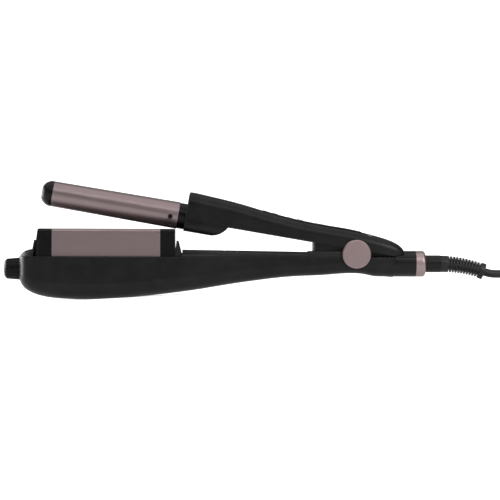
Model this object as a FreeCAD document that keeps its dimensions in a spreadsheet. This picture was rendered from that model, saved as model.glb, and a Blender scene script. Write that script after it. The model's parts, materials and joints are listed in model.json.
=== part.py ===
import FreeCAD, Part
import math
import os
from types import SimpleNamespace

import Sketcher

# A hair waver: two wings rise out of a boat-shaped lower arm, and one barrel on the sprung upper arm
# closes between them. Lengths are in millimetres and angles in degrees. X runs from the dial at the tip
# to the cord at the tail, Y = 0 is the plane of symmetry and Z = 0 is the rim of the lower shell. The
# upper arm is drawn closed and turned open about its pivot. The iron is then laid on its rest facet.

SIZES = {
    # fits and clearances
    "running_fit": 0.05,
    "slide_gap": 0.3,
    "free_gap": 0.6,
    "overrun": 2.0,
    # lower shell
    "shell_wall": 2.0,
    "nose_half_width": 12.0,
    "nose_depth": 20.0,
    "nose_round": 7.0,
    "nose_length": 52.0,
    "tub_half_width": 26.0,
    "tub_depth": 36.2,
    "tub_round": 13.0,
    "handle_half_width": 13.5,
    "handle_depth": 16.1,
    "handle_round": 9.0,
    "handle_lead": 46.9,
    "handle_length": 49.0,
    "waist_depth": 13.8,
    "rear_radius": 11.05,
    "rear_axis_drop": 5.4,
    "rear_seam_drop": 1.2,
    "seam_groove": 0.3,
    "rim_round": 1.0,
    "rear_cap_length": 18.2,
    "facet_place": 74.0,
    "facet_depth": 35.4,
    # decks on the lower shell
    "nose_deck_setback": 0.8,
    "nose_deck_length": 10.4,
    "nose_deck_half_width": 22.6,
    "nose_deck_rise": 6.2,
    "fin_width": 9.0,
    "front_fin_height": 13.9,
    "front_fin_foot": 3.0,
    "front_fin_waist": 1.4,
    "front_fin_tip": 0.9,
    "front_fin_waist_height": 4.2,
    "rear_fin_height": 13.6,
    "rear_fin_root": 5.5,
    "rear_fin_lean": 1.1,
    "rear_fin_foot": 5.9,
    "rear_fin_tip": 1.4,
    "deck_inset": 1.2,
    "deck_base": 1.5,
    "island_half_width": 20.4,
    "ledge_rise": 2.4,
    "deck_front_rise": 6.1,
    "deck_rear_rise": 4.6,
    "deck_round": 1.8,
    "deck_rear_round": 3.8,
    "tray_wall": 1.6,
    "deck_tail_thickness": 2.0,
    "tail_rib_height": 5.0,
    "tail_rib_half_width": 4.0,
    "tail_rib_setback": 4.0,
    # hinge
    "seam_level": 6.5,
    "pivot_setback": 148.0,
    "pivot_level": 2.6,
    "open_angle": 9.62,
    "pin_radius": 3.0,
    "lug_radius": 8.0,
    "lug_thickness": 1.5,
    "lug_root": 2.5,
    "bush_wall": 1.2,
    "block_half_width": 9.0,
    "block_lead": 36.7,
    "block_corner": 5.0,
    "plinth_lead": 3.8,
    "plinth_height": 5.3,
    "plinth_inset": 0.6,
    "block_crown_length": 14.0,
    "block_height": 13.5,
    "block_depth": 6.0,
    "block_end_margin": 10.0,
    "spring_bay_half_width": 3.8,
    "spring_radius": 4.5,
    "spring_wire": 0.55,
    "spring_pitch": 1.6,
    "spring_leg": 13.0,
    "spring_rib": 4.0,
    "cover_radius": 12.1,
    "cover_thickness": 2.4,
    "cover_bevel": 0.8,
    # wings and their lift
    "wing_inner": 13.2,
    "wing_width": 9.6,
    "wing_height": 23.5,
    "wing_drop": 6.0,
    "wing_wall": 1.2,
    "wing_round": 3.0,
    "wing_place": 28.2,
    "wing_length": 90.8,
    "front_cap_length": 15.3,
    "front_cap_lean": 3.4,
    "front_cap_brow": 1.6,
    "front_cap_corner": 5.0,
    "rear_cap_block": 12.3,
    "heater_length": 70.0,
    "heater_height": 13.0,
    "lift_travel": 9.0,
    "slider_travel": 18.0,
    "rail_inner": 14.0,
    "rail_width": 7.0,
    "rail_height": 6.0,
    "rail_margin": 2.5,
    "lug_width": 3.6,
    "lug_length": 7.0,
    "cross_pin_radius": 2.0,
    "cross_pin_drop": 17.0,
    "front_pin_place": 45.0,
    "rear_pin_place": 95.0,
    "slider_half_width": 8.8,
    "slider_plate": 2.4,
    "slider_margin": 4.0,
    "slot_clearance": 0.15,
    "nut_place": 52.0,
    "nut_length": 14.0,
    "nut_height": 4.6,
    "cradle_half_width": 12.5,
    "cradle_floor": 3.0,
    "cradle_rim": 4.0,
    "cradle_gap": 0.9,
    # dial and screw
    "dial_drop": 10.5,
    "dial_radius": 9.5,
    "dial_end_radius": 8.6,
    "dial_length": 12.9,
    "dial_round": 2.0,
    "flute_radius": 1.0,
    "screw_radius": 3.2,
    "screw_socket": 9.0,
    "bush_radius": 5.0,
    "bush_flange_radius": 6.6,
    "bush_flange": 1.4,
    "bearing_half_width": 6.0,
    "bearing_length": 4.5,
    "bearing_place": 16.0,
    # upper shell
    "collar_show": 6.3,
    "upper_length": 188.3,
    "tail_overlap": 7.2,
    "front_bevel": 0.7,
    "upper_half_width": 15.0,
    "upper_rise": 24.1,
    "upper_wall": 2.2,
    "tail_cut_length": 8.0,
    "tail_cut_rise": 2.9,
    "belly_length": 37.3,
    "belly_depth": 9.3,
    "belly_half_width": 14.3,
    "belly_flat": 22.0,
    "belly_round": 6.0,
    "belly_wall": 3.4,
    # barrel
    "barrel_level": 9.4,
    "barrel_place": 22.8,
    "barrel_length": 107.8,
    "barrel_tip_radius": 10.8,
    "barrel_root_radius": 11.5,
    "barrel_wall": 1.5,
    "barrel_tip_length": 9.4,
    "barrel_plug_length": 6.0,
    "collar_radius": 11.0,
    "collar_socket": 7.0,
    "wire_bore": 4.0,
    "barrel_heater_width": 17.2,
    "barrel_heater_height": 6.0,
    "barrel_screw_radius": 2.0,
    "barrel_screw_length": 2.2,
    "barrel_screw_setback": 6.5,
    "barrel_screw_drop": 2.1,
    # control panel
    "panel_setback": 64.0,
    "panel_length": 85.0,
    "panel_half_width": 8.5,
    "panel_seat": 1.1,
    "panel_bed": 0.1,
    "panel_edge": 0.3,
    "panel_round": 0.7,
    "button_radius": 3.3,
    "button_proud": 0.35,
    "button_head": 2.8,
    "button_stem_radius": 1.2,
    "button_travel": 0.8,
    "button_bevel": 0.5,
    "lens_length": 9.0,
    "lens_half_width": 3.6,
    "lens_proud": 0.15,
    "board_length": 46.0,
    "board_half_width": 10.2,
    "board_thickness": 1.6,
    "board_drop": 9.5,
    "shelf_width": 4.4,
    "shelf_height": 2.0,
    "switch_side": 6.0,
    "switch_height": 3.4,
    "indicator_setback": 157.0,
    "indicator_angle": 23.7,
    "indicator_proud": 0.15,
    "indicator_radius": 1.9,
    "indicator_depth": 2.6,
    # swivel, guard and cord
    "collar_length": 8.2,
    "collar_round": 2.6,
    "neck_radius": 7.3,
    "neck_show": 12.8,
    "swivel_flange_radius": 8.6,
    "swivel_flange": 2.6,
    "hub_radius": 4.6,
    "hub_length": 13.0,
    "slip_ring_radius": 6.2,
    "slip_ring_width": 2.6,
    "slip_ring_pitch": 5.2,
    "contact_half_width": 4.0,
    "guard_bend": 20.0,
    "guard_length": 38.0,
    "guard_radius": 7.1,
    "guard_end_radius": 6.3,
    "guard_flange_radius": 6.9,
    "guard_flange": 3.4,
    "guard_slot": 1.35,
    "guard_slot_depth": 2.3,
    "guard_spine": 1.0,
    "cord_radius": 3.4,
    "coil_place": 392.0,
    "coil_side": 22.0,
    "coil_run": 70.0,
    "coil_radius": 28.6,
    "coil_pitch": 7.4,
    "coil_lift": 1.6,
    "tie_width": 9.0,
    "tie_thickness": 1.2,
    "plug_half_width": 17.5,
    "plug_neck_half_width": 6.0,
    "plug_thickness": 14.0,
    "plug_length": 36.0,
    "plug_sleeve_radius": 5.2,
    "plug_sleeve_length": 12.0,
    "plug_pin_radius": 2.0,
    "plug_pin_length": 19.0,
    "plug_pin_spacing": 19.0,
}

DIAL_FLUTES = 20
GUARD_RIBS = 11
GUARD_RINGS = 7
SPRING_HALF_TURNS = 7
# Half pitches by which each half turn of the coil lies inwards, on its way in and out again
COIL_STEPS_IN = (0, 1, 2, 1, 0)
COIL_PASSES = 2
SAMPLES_PER_ARC = 12
FULL_CIRCLE = 2 * math.pi
FULL_TURN = 360.0
RIGHT_ANGLE = 90.0

# Cross-sections of the lower arm: shares along a zone, of its change of width and of its change of depth
NOSE_SHARES = [(0, 0, 0), (0.03, 0.32, 0.19), (0.08, 0.58, 0.39), (0.16, 0.78, 0.57), (0.29, 0.92, 0.75),
               (0.55, 1, 0.92), (1, 1, 1)]
TAPER_SHARES = [(0.09, 0, 0.005), (0.18, 0, 0.055), (0.36, 0.01, 0.22), (0.45, 0.07, 0.325),
                (0.545, 0.28, 0.45), (0.635, 0.55, 0.59), (0.725, 0.78, 0.72), (0.82, 0.92, 0.84),
                (0.91, 0.98, 0.94), (1, 1, 1)]
HANDLE_SHARES = [(0.5, 0, 0.57), (1, 0, 1)]
REAR_SHARES = [(0.16, 0.05, 0.22), (0.33, 0.16, 0.63), (0.5, 0.4, 0.93), (0.75, 0.82, 1), (1, 1, 1)]
# Cross-sections of the nose deck: shares of its length, half-width and rise
NOSE_DECK_SHARES = [(0, 0.47, 0.12), (0.16, 0.69, 0.42), (0.41, 0.84, 0.7), (0.7, 0.94, 0.9), (1, 1, 1)]
# Cross-sections of the upper shell: shares of its length, half-width and rise
UPPER_SHARES = [(0, 0.975, 1), (0.05, 1, 1), (0.1, 1, 0.975), (0.185, 0.985, 0.934), (0.275, 0.96, 0.863),
                (0.37, 0.933, 0.77), (0.46, 0.92, 0.7), (0.56, 0.905, 0.664), (0.65, 0.9, 0.66),
                (0.745, 0.885, 0.66), (0.82, 0.85, 0.625), (0.875, 0.8, 0.585), (0.935, 0.705, 0.513),
                (0.966, 0.61, 0.437), (0.987, 0.5, 0.347), (1, 0.37, 0.245)]
UPPER_ROUND_SHARE = 0.72
DECK_ROUND_SHARE = 0.8
REAR_ROUND_SHARE = 0.96
LUG_ROOF_SHARE = 0.33
SPRING_RIB_ROOF_SHARE = 0.6
TIP_SHOULDER_SHARE = 0.5
TIP_BAND_SHARE = 0.25
PLUG_SHOULDER_SHARE = 0.35
PLUG_CHEEK_SHARE = 0.7
PLUG_FACE_SHARE = 0.75
# Places along the control panel as shares of its length
BUTTON_SHARES = {"power_button": 0.12, "minus_button": 0.275, "plus_button": 0.39}
LENS_SHARE = 0.54
# Distance of a flute's centre outside the dial, as a share of its radius
FLUTE_CENTRE_SHARE = 0.25
# Reach of a cord's arc as a share of the shorter run beside it
ARC_REACH_SHARE = 0.45
# Slots of the cord guard: shares of its length where the first and the last one lie
FIRST_SLOT_SHARE = 0.2
LAST_SLOT_SHARE = 0.87


class Size(float):
    """A length that keeps the formula in sheet cells that it comes from."""

    def __new__(cls, value, formula):
        size = float.__new__(cls, value)
        size.formula = formula
        return size

    def __add__(self, other):
        return Size(float(self) + float(other), "(%s + %s)" % (self.formula, formula_of(other)))

    def __radd__(self, other):
        return Size(float(other) + float(self), "(%s + %s)" % (formula_of(other), self.formula))

    def __sub__(self, other):
        return Size(float(self) - float(other), "(%s - %s)" % (self.formula, formula_of(other)))

    def __rsub__(self, other):
        return Size(float(other) - float(self), "(%s - %s)" % (formula_of(other), self.formula))

    def __mul__(self, other):
        return Size(float(self) * float(other), "(%s * %s)" % (self.formula, formula_of(other)))

    def __rmul__(self, other):
        return self * other

    def __truediv__(self, other):
        return Size(float(self) / float(other), "(%s / %s)" % (self.formula, formula_of(other)))

    def __neg__(self):
        return Size(-float(self), "(0 - %s)" % self.formula)


def formula_of(value):
    return value.formula if isinstance(value, Size) else "(%.9f)" % value


def chord(radius, distance):
    """Half the chord of a circle at a distance from its centre."""
    value = math.sqrt(radius * radius - distance * distance)
    return Size(value, "sqrt(%s ^ 2 - %s ^ 2)" % (formula_of(radius), formula_of(distance)))


def blend(first, second, share):
    return first + (second - first) * share


def share_between(rows, along, column):
    """Value of a column of a table of shares at a share along, between the two rows beside it."""
    for low, high in zip(rows, rows[1:]):
        if low[0] <= along <= high[0]:
            return low[column] + (high[column] - low[column]) * (along - low[0]) / (high[0] - low[0])
    return rows[-1][column]


doc = FreeCAD.newDocument("hair_waver")
sheet = doc.addObject("Spreadsheet::Sheet", "sizes")
for row, (size_name, size_value) in enumerate(SIZES.items(), start=1):
    sheet.set("A%d" % row, size_name)
    sheet.set("B%d" % row, str(size_value))
    sheet.setAlias("B%d" % row, size_name)
doc.recompute()
dim = SimpleNamespace(**{name: Size(value, "sizes." + name) for name, value in SIZES.items()})

# Places along the arms: the barrel sets the upper arm, which sets the pivot and the handle below it
barrel_end = dim.barrel_place + dim.barrel_length
upper_place = barrel_end + dim.collar_show
upper_end = upper_place + dim.upper_length
pivot_place = upper_place + dim.pivot_setback
block_place = pivot_place - dim.block_lead
handle_place = pivot_place - dim.handle_lead
taper_length = handle_place - dim.nose_length
waist_place = handle_place + dim.handle_length
rear_place = upper_end - dim.tail_overlap
collar_place = rear_place + dim.rear_cap_length
neck_end_place = collar_place + dim.collar_length + dim.neck_show
panel_place = upper_place + dim.panel_setback
panel_end = panel_place + dim.panel_length
indicator_place = upper_place + dim.indicator_setback
rear_depth = dim.rear_axis_drop + dim.rear_radius
wing_front = dim.wing_place - dim.front_cap_length
wing_back = dim.wing_place + dim.wing_length
wing_end = wing_back + dim.rear_cap_block
wing_outer = dim.wing_inner + dim.wing_width
deck_place = wing_end + dim.slide_gap
island_place = deck_place + dim.rear_fin_foot

parts = []


# Document helpers

def bind(obj, prop, value):
    """Set a size, tied to the sheet where it comes from there."""
    if isinstance(value, Size):
        obj.setExpression(prop, value.formula)
    else:
        setattr(obj, prop, value)


def new_body(label):
    body = doc.addObject("PartDesign::Body", label)
    body.Label = label
    return body


def new_sketch(body, role, offset=0.0):
    """A sketch on one of the body's origin planes, moved along its normal."""
    sketch = body.newObject("Sketcher::SketchObject", "Sketch")
    plane = [item for item in body.Origin.OriginFeatures if item.Role == role][0]
    sketch.AttachmentSupport = [(plane, "")]
    sketch.MapMode = "FlatFace"
    sketch.AttachmentOffset = FreeCAD.Placement(FreeCAD.Vector(0, 0, float(offset)), FreeCAD.Rotation())
    if isinstance(offset, Size):
        sketch.setExpression("AttachmentOffset.Base.z", offset.formula)
    return sketch


def frame_sketch(body, frame):
    """A sketch in the XY plane of a frame of its own."""
    sketch = new_sketch(body, "XY_Plane")
    sketch.AttachmentOffset = frame
    return sketch


def flat_point(point):
    return FreeCAD.Vector(float(point[0]), float(point[1]), 0)


def minor_arc(start, end, radius):
    """The short arc between two points, turning left for a positive radius and right for a negative one."""
    middle = (start + end) / 2
    half = (end - start) / 2
    reach = math.sqrt(max(radius * radius - half.Length ** 2, 0))
    left = FreeCAD.Vector(-half.y, half.x, 0).normalize()
    centre = middle + left * math.copysign(reach, radius)
    first, last = (start, end) if radius > 0 else (end, start)
    first_angle = math.atan2(first.y - centre.y, first.x - centre.x)
    last_angle = math.atan2(last.y - centre.y, last.x - centre.x)
    if last_angle < first_angle:
        last_angle += 2 * math.pi
    circle = Part.Circle(centre, FreeCAD.Vector(0, 0, 1), abs(radius))
    return Part.ArcOfCircle(circle, first_angle, last_angle)


def add_outline(sketch, points):
    """A closed outline. A point with a third value starts an arc of that signed radius, any other a line."""
    count = len(points)
    first = sketch.GeometryCount
    geometry = []
    ends = []
    for index, point in enumerate(points):
        start = flat_point(point)
        end = flat_point(points[(index + 1) % count])
        if len(point) == 3:
            geometry.append(minor_arc(start, end, float(point[2])))
            ends.append((1, 2) if point[2] > 0 else (2, 1))
        else:
            geometry.append(Part.LineSegment(start, end))
            ends.append((1, 2))
    sketch.addGeometry(geometry, False)
    constraints = []
    bound = []

    def constrain(kind, place, value):
        if isinstance(value, Size):
            bound.append((sketch.ConstraintCount + len(constraints), value))
        constraints.append(Sketcher.Constraint(kind, *place, float(value)))

    for index, point in enumerate(points):
        following = (index + 1) % count
        line = first + index
        constraints.append(Sketcher.Constraint("Coincident", line, ends[index][1],
                                               first + following, ends[following][0]))
        for kind, axis, value in (("DistanceX", -2, point[0]), ("DistanceY", -1, point[1])):
            if float(value) == 0.0:
                constraints.append(Sketcher.Constraint("PointOnObject", line, ends[index][0], axis))
            else:
                constrain(kind, (-1, 1, line, ends[index][0]), value)
        if len(point) == 3:
            constrain("Radius", (line,), point[2] if point[2] > 0 else -point[2])
    sketch.addConstraint(constraints)
    for index, value in bound:
        sketch.setExpression("Constraints[%d]" % index, value.formula)


def add_circle(sketch, across, up, radius):
    centre = FreeCAD.Vector(float(across), float(up), 0)
    line = sketch.addGeometry(Part.Circle(centre, FreeCAD.Vector(0, 0, 1), float(radius)), False)
    for kind, axis, value in (("DistanceX", -2, across), ("DistanceY", -1, up)):
        if float(value) == 0.0:
            sketch.addConstraint(Sketcher.Constraint("PointOnObject", line, 3, axis))
        else:
            index = sketch.addConstraint(Sketcher.Constraint(kind, -1, 1, line, 3, float(value)))
            bind_constraint(sketch, index, value)
    index = sketch.addConstraint(Sketcher.Constraint("Radius", line, float(radius)))
    bind_constraint(sketch, index, radius)


def bind_constraint(sketch, index, value):
    if isinstance(value, Size):
        sketch.setExpression("Constraints[%d]" % index, value.formula)


def pad(body, sketch, length, symmetric=False, backwards=False):
    feature = body.newObject("PartDesign::Pad", "Pad")
    feature.Profile = sketch
    bind(feature, "Length", length)
    feature.SideType = "Symmetric" if symmetric else "One side"
    feature.Reversed = backwards
    return feature


def pocket(body, sketch, length):
    """A cut that runs half of its length to each side of the sketch."""
    feature = body.newObject("PartDesign::Pocket", "Pocket")
    feature.Profile = sketch
    bind(feature, "Length", length)
    feature.SideType = "Symmetric"
    return feature


def revolve(body, sketch, axis="H_Axis"):
    feature = body.newObject("PartDesign::Revolution", "Revolution")
    feature.Profile = sketch
    feature.ReferenceAxis = (sketch, [axis])
    feature.Angle = FULL_TURN
    return feature


def loft(body, sections, kind="PartDesign::AdditiveLoft"):
    feature = body.newObject(kind, "Loft")
    feature.Profile = sections[0]
    feature.Sections = sections[1:]
    return feature


def turned(label, points):
    """A body of revolution about X, from points given as a place along X and a radius."""
    body = new_body(label)
    sketch = new_sketch(body, "XZ_Plane")
    add_outline(sketch, points)
    revolve(body, sketch)
    return body


def side_pad(body, points, inner, width, side):
    """A side-view outline raised from a distance off the middle plane, on the near (-1) or far (1) side."""
    sketch = new_sketch(body, "XZ_Plane", inner * -side)
    add_outline(sketch, points)
    return pad(body, sketch, width, backwards=side > 0)


def side_cut(body, points, half_width):
    """A side-view outline cut through both sides of the middle plane."""
    sketch = new_sketch(body, "XZ_Plane")
    add_outline(sketch, points)
    return pocket(body, sketch, half_width * 2)


def box_points(left, right, low, high):
    return [(left, low), (right, low), (right, high), (left, high)]


def u_section(body, place, half_width, mouth, floor, corner, rim=None):
    """A U-shaped cross-section at a place along X, from mouth to floor, with an optional round on its rim."""
    turn = corner if float(floor) < float(mouth) else -corner
    points = [
        (-half_width, floor + turn, turn),
        (corner - half_width, floor),
        (half_width - corner, floor, turn),
        (half_width, floor + turn),
    ]
    if rim is None:
        points += [(half_width, mouth), (-half_width, mouth)]
    else:
        points += [
            (half_width, mouth - rim, rim),
            (half_width - rim, mouth),
            (rim - half_width, mouth, rim),
            (-half_width, mouth - rim),
        ]
    sketch = new_sketch(body, "YZ_Plane", place)
    add_outline(sketch, points)
    return sketch


def feature_of(label, shape):
    obj = doc.addObject("Part::Feature", label)
    obj.Label = label
    obj.Shape = shape
    return obj


def cylinder_of(label, radius, length):
    obj = doc.addObject("Part::Cylinder", label)
    obj.Label = label
    bind(obj, "Radius", radius)
    bind(obj, "Height", length)
    return obj


def move(x=0.0, y=0.0, z=0.0):
    return FreeCAD.Placement(FreeCAD.Vector(float(x), float(y), float(z)), FreeCAD.Rotation())


def turn_about(axis, angle):
    return FreeCAD.Placement(FreeCAD.Vector(), FreeCAD.Rotation(FreeCAD.Vector(*axis), float(angle)))


# Rest pose: the lower shell stands on its facet and on the lowest edge of the cord guard

guard_bend = math.radians(dim.guard_bend)
guard_arc = float(dim.guard_length) / guard_bend


def guard_point(share):
    """Centre of the cord guard at a share of its length, in the iron's own frame."""
    angle = guard_bend * share
    return FreeCAD.Vector(float(neck_end_place + dim.slide_gap) + guard_arc * math.sin(angle), 0,
                          -float(dim.rear_axis_drop) - guard_arc * (1 - math.cos(angle)))


def guard_direction(share):
    angle = guard_bend * share
    return FreeCAD.Vector(math.cos(angle), 0, -math.sin(angle))


facet_point = FreeCAD.Vector(float(dim.facet_place), 0, -float(dim.facet_depth))
guard_down = FreeCAD.Vector(-math.sin(guard_bend), 0, -math.cos(guard_bend))
guard_heel = guard_point(1) + guard_down * float(dim.guard_flange_radius)
rest_tilt = math.degrees(math.atan2(guard_heel.z - facet_point.z, guard_heel.x - facet_point.x))
facet_rise = math.tan(math.radians(rest_tilt))

REST = turn_about((0, 1, 0), rest_tilt) * move(*(-facet_point))
PIVOT = move(pivot_place, 0, dim.pivot_level)
OPEN = PIVOT * turn_about((0, 1, 0), dim.open_angle) * PIVOT.inverse()


def upper_top(place):
    """Level of the upper shell's top at a place along it, in the closed iron."""
    along = (float(place) - float(upper_place)) / float(dim.upper_length)
    return dim.seam_level + dim.upper_rise * share_between(UPPER_SHARES, along, 2)


panel_level = upper_top(panel_place)
panel_slope = math.atan2(panel_level - upper_top(panel_place + dim.board_length), dim.board_length)
PANEL = move(panel_place, 0, panel_level) * turn_about((0, 1, 0), math.degrees(panel_slope))


def keep_lower(obj, place=FreeCAD.Placement()):
    obj.Placement = REST * place
    parts.append(obj)


def keep_upper(obj, place=FreeCAD.Placement()):
    obj.Placement = REST * OPEN * place
    parts.append(obj)


def keep_on_floor(obj):
    parts.append(obj)


# Lower arm

def lower_sections(body, inset, mouth, rim=None):
    """Cross-sections of the lower arm from nose to rear, drawn in by an inset."""
    knots = [
        (inset, dim.nose_half_width - inset, dim.nose_depth - inset, dim.nose_round - inset),
        (dim.nose_length, dim.tub_half_width - inset, dim.tub_depth - inset, dim.tub_round - inset),
        (handle_place, dim.handle_half_width - inset, dim.handle_depth - inset, dim.handle_round - inset),
        (waist_place, dim.handle_half_width - inset, dim.waist_depth - inset, dim.handle_round - inset),
        (rear_place, dim.rear_radius - inset, rear_depth - inset,
         (dim.rear_radius - inset) * REAR_ROUND_SHARE),
    ]
    zones = [NOSE_SHARES, TAPER_SHARES, HANDLE_SHARES, REAR_SHARES]
    sections = []
    for start, end, shares in zip(knots, knots[1:], zones):
        for along, across, deep in shares:
            place = blend(start[0], end[0], along)
            half_width = blend(start[1], end[1], across)
            depth = blend(start[2], end[2], deep)
            corner = blend(start[3], end[3], across)
            sections.append(u_section(body, place, half_width, mouth, -depth, corner, rim))
    return sections


def lower_half_width(place):
    """Half-width of the lower arm's rim at a place on its taper."""
    along = (float(place) - float(dim.nose_length)) / float(taper_length)
    across = share_between([(0, 0, 0)] + TAPER_SHARES, along, 1)
    return blend(dim.tub_half_width, dim.handle_half_width, across)


def lower_depth(place):
    """Depth of the lower arm below its rim at a place on its nose or taper."""
    if float(place) < float(dim.nose_length):
        along = float(place) / float(dim.nose_length)
        return blend(dim.nose_depth, dim.tub_depth, share_between(NOSE_SHARES, along, 2))
    along = (float(place) - float(dim.nose_length)) / float(taper_length)
    return blend(dim.tub_depth, dim.handle_depth, share_between([(0, 0, 0)] + TAPER_SHARES, along, 2))


def make_lower_shell():
    body = new_body("lower_shell")
    loft(body, lower_sections(body, 0.0, 0.0, dim.rim_round))
    rear = new_sketch(body, "YZ_Plane", rear_place)
    seam = -(dim.rear_axis_drop + dim.rear_seam_drop)
    inner_radius = dim.rear_radius - dim.shell_wall
    outer = chord(dim.rear_radius, dim.rear_seam_drop)
    inner = chord(inner_radius, dim.rear_seam_drop)
    floor = -rear_depth
    add_outline(rear, [
        (-outer, seam, dim.rear_radius),
        (0.0, floor, dim.rear_radius),
        (outer, seam),
        (inner, seam, -inner_radius),
        (0.0, floor + dim.shell_wall, -inner_radius),
        (-inner, seam),
    ])
    pad(body, rear, dim.rear_cap_length)
    loft(body, lower_sections(body, dim.shell_wall, dim.overrun), "PartDesign::SubtractiveLoft")
    reach = dim.tub_half_width
    left = dim.facet_place - reach
    right = dim.facet_place + reach
    low = -(dim.facet_depth + reach)
    side_cut(body, [(left, low), (right, low), (right, reach * facet_rise - dim.facet_depth),
                    (left, -reach * facet_rise - dim.facet_depth)], dim.tub_half_width)
    bore = new_sketch(body, "YZ_Plane")
    add_circle(bore, 0.0, -dim.dial_drop, dim.bush_radius)
    pocket(body, bore, (dim.shell_wall + dim.overrun) * 2)
    seat = new_sketch(body, "XZ_Plane")
    add_circle(seat, pivot_place, dim.pivot_level, dim.pin_radius)
    pocket(body, seat, (dim.handle_half_width + dim.overrun) * 2)
    keep_lower(body)


def make_nose_deck():
    body = new_body("nose_deck")
    sections = []
    for along, across, up in NOSE_DECK_SHARES:
        rise = dim.nose_deck_rise * up
        sections.append(u_section(body, dim.nose_deck_setback + dim.nose_deck_length * along,
                                  dim.nose_deck_half_width * across, 0.0, rise, rise * DECK_ROUND_SHARE))
    loft(body, sections)
    back = wing_front - dim.free_gap
    tip = back + dim.front_cap_lean * dim.front_fin_height / dim.wing_height
    waist = back + dim.front_cap_lean * dim.front_fin_waist_height / dim.wing_height
    flare = dim.front_fin_waist_height * 2
    for side in (-1, 1):
        side_pad(body, [
            (back - dim.front_fin_foot, 0.0),
            (back, 0.0),
            (tip, dim.front_fin_height),
            (tip - dim.front_fin_tip, dim.front_fin_height),
            (waist - dim.front_fin_waist, dim.front_fin_waist_height, -flare),
        ], dim.wing_inner, dim.fin_width, side)
    keep_lower(body)


def belly_ramp(gap):
    """Where the belly's floor starts to rise, the radius of its rise and where it ends, with a gap."""
    start = upper_place + dim.belly_flat
    across = dim.belly_length - dim.belly_flat
    radius = (across * across + dim.belly_depth * dim.belly_depth) / (dim.belly_depth * 2)
    end = start + chord(radius + gap, radius - dim.belly_depth)
    return start, radius + gap, end


def round_block_front(body):
    """Rounded upright corners at the front of the hinge block."""
    corner = dim.block_corner
    edge = dim.block_half_width
    for side in (-1, 1):
        past = dim.overrun * side
        plan = new_sketch(body, "XY_Plane", dim.block_height)
        add_outline(plan, [
            (block_place - dim.overrun, (edge - corner) * side),
            (block_place, (edge - corner) * side, corner * -side),
            (block_place + corner, edge * side),
            (block_place + corner, edge * side + past),
            (block_place - dim.overrun, edge * side + past),
        ])
        cut = body.newObject("PartDesign::Pocket", "BlockCorner")
        cut.Profile = plan
        bind(cut, "Length", dim.block_height - dim.plinth_height)


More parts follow.
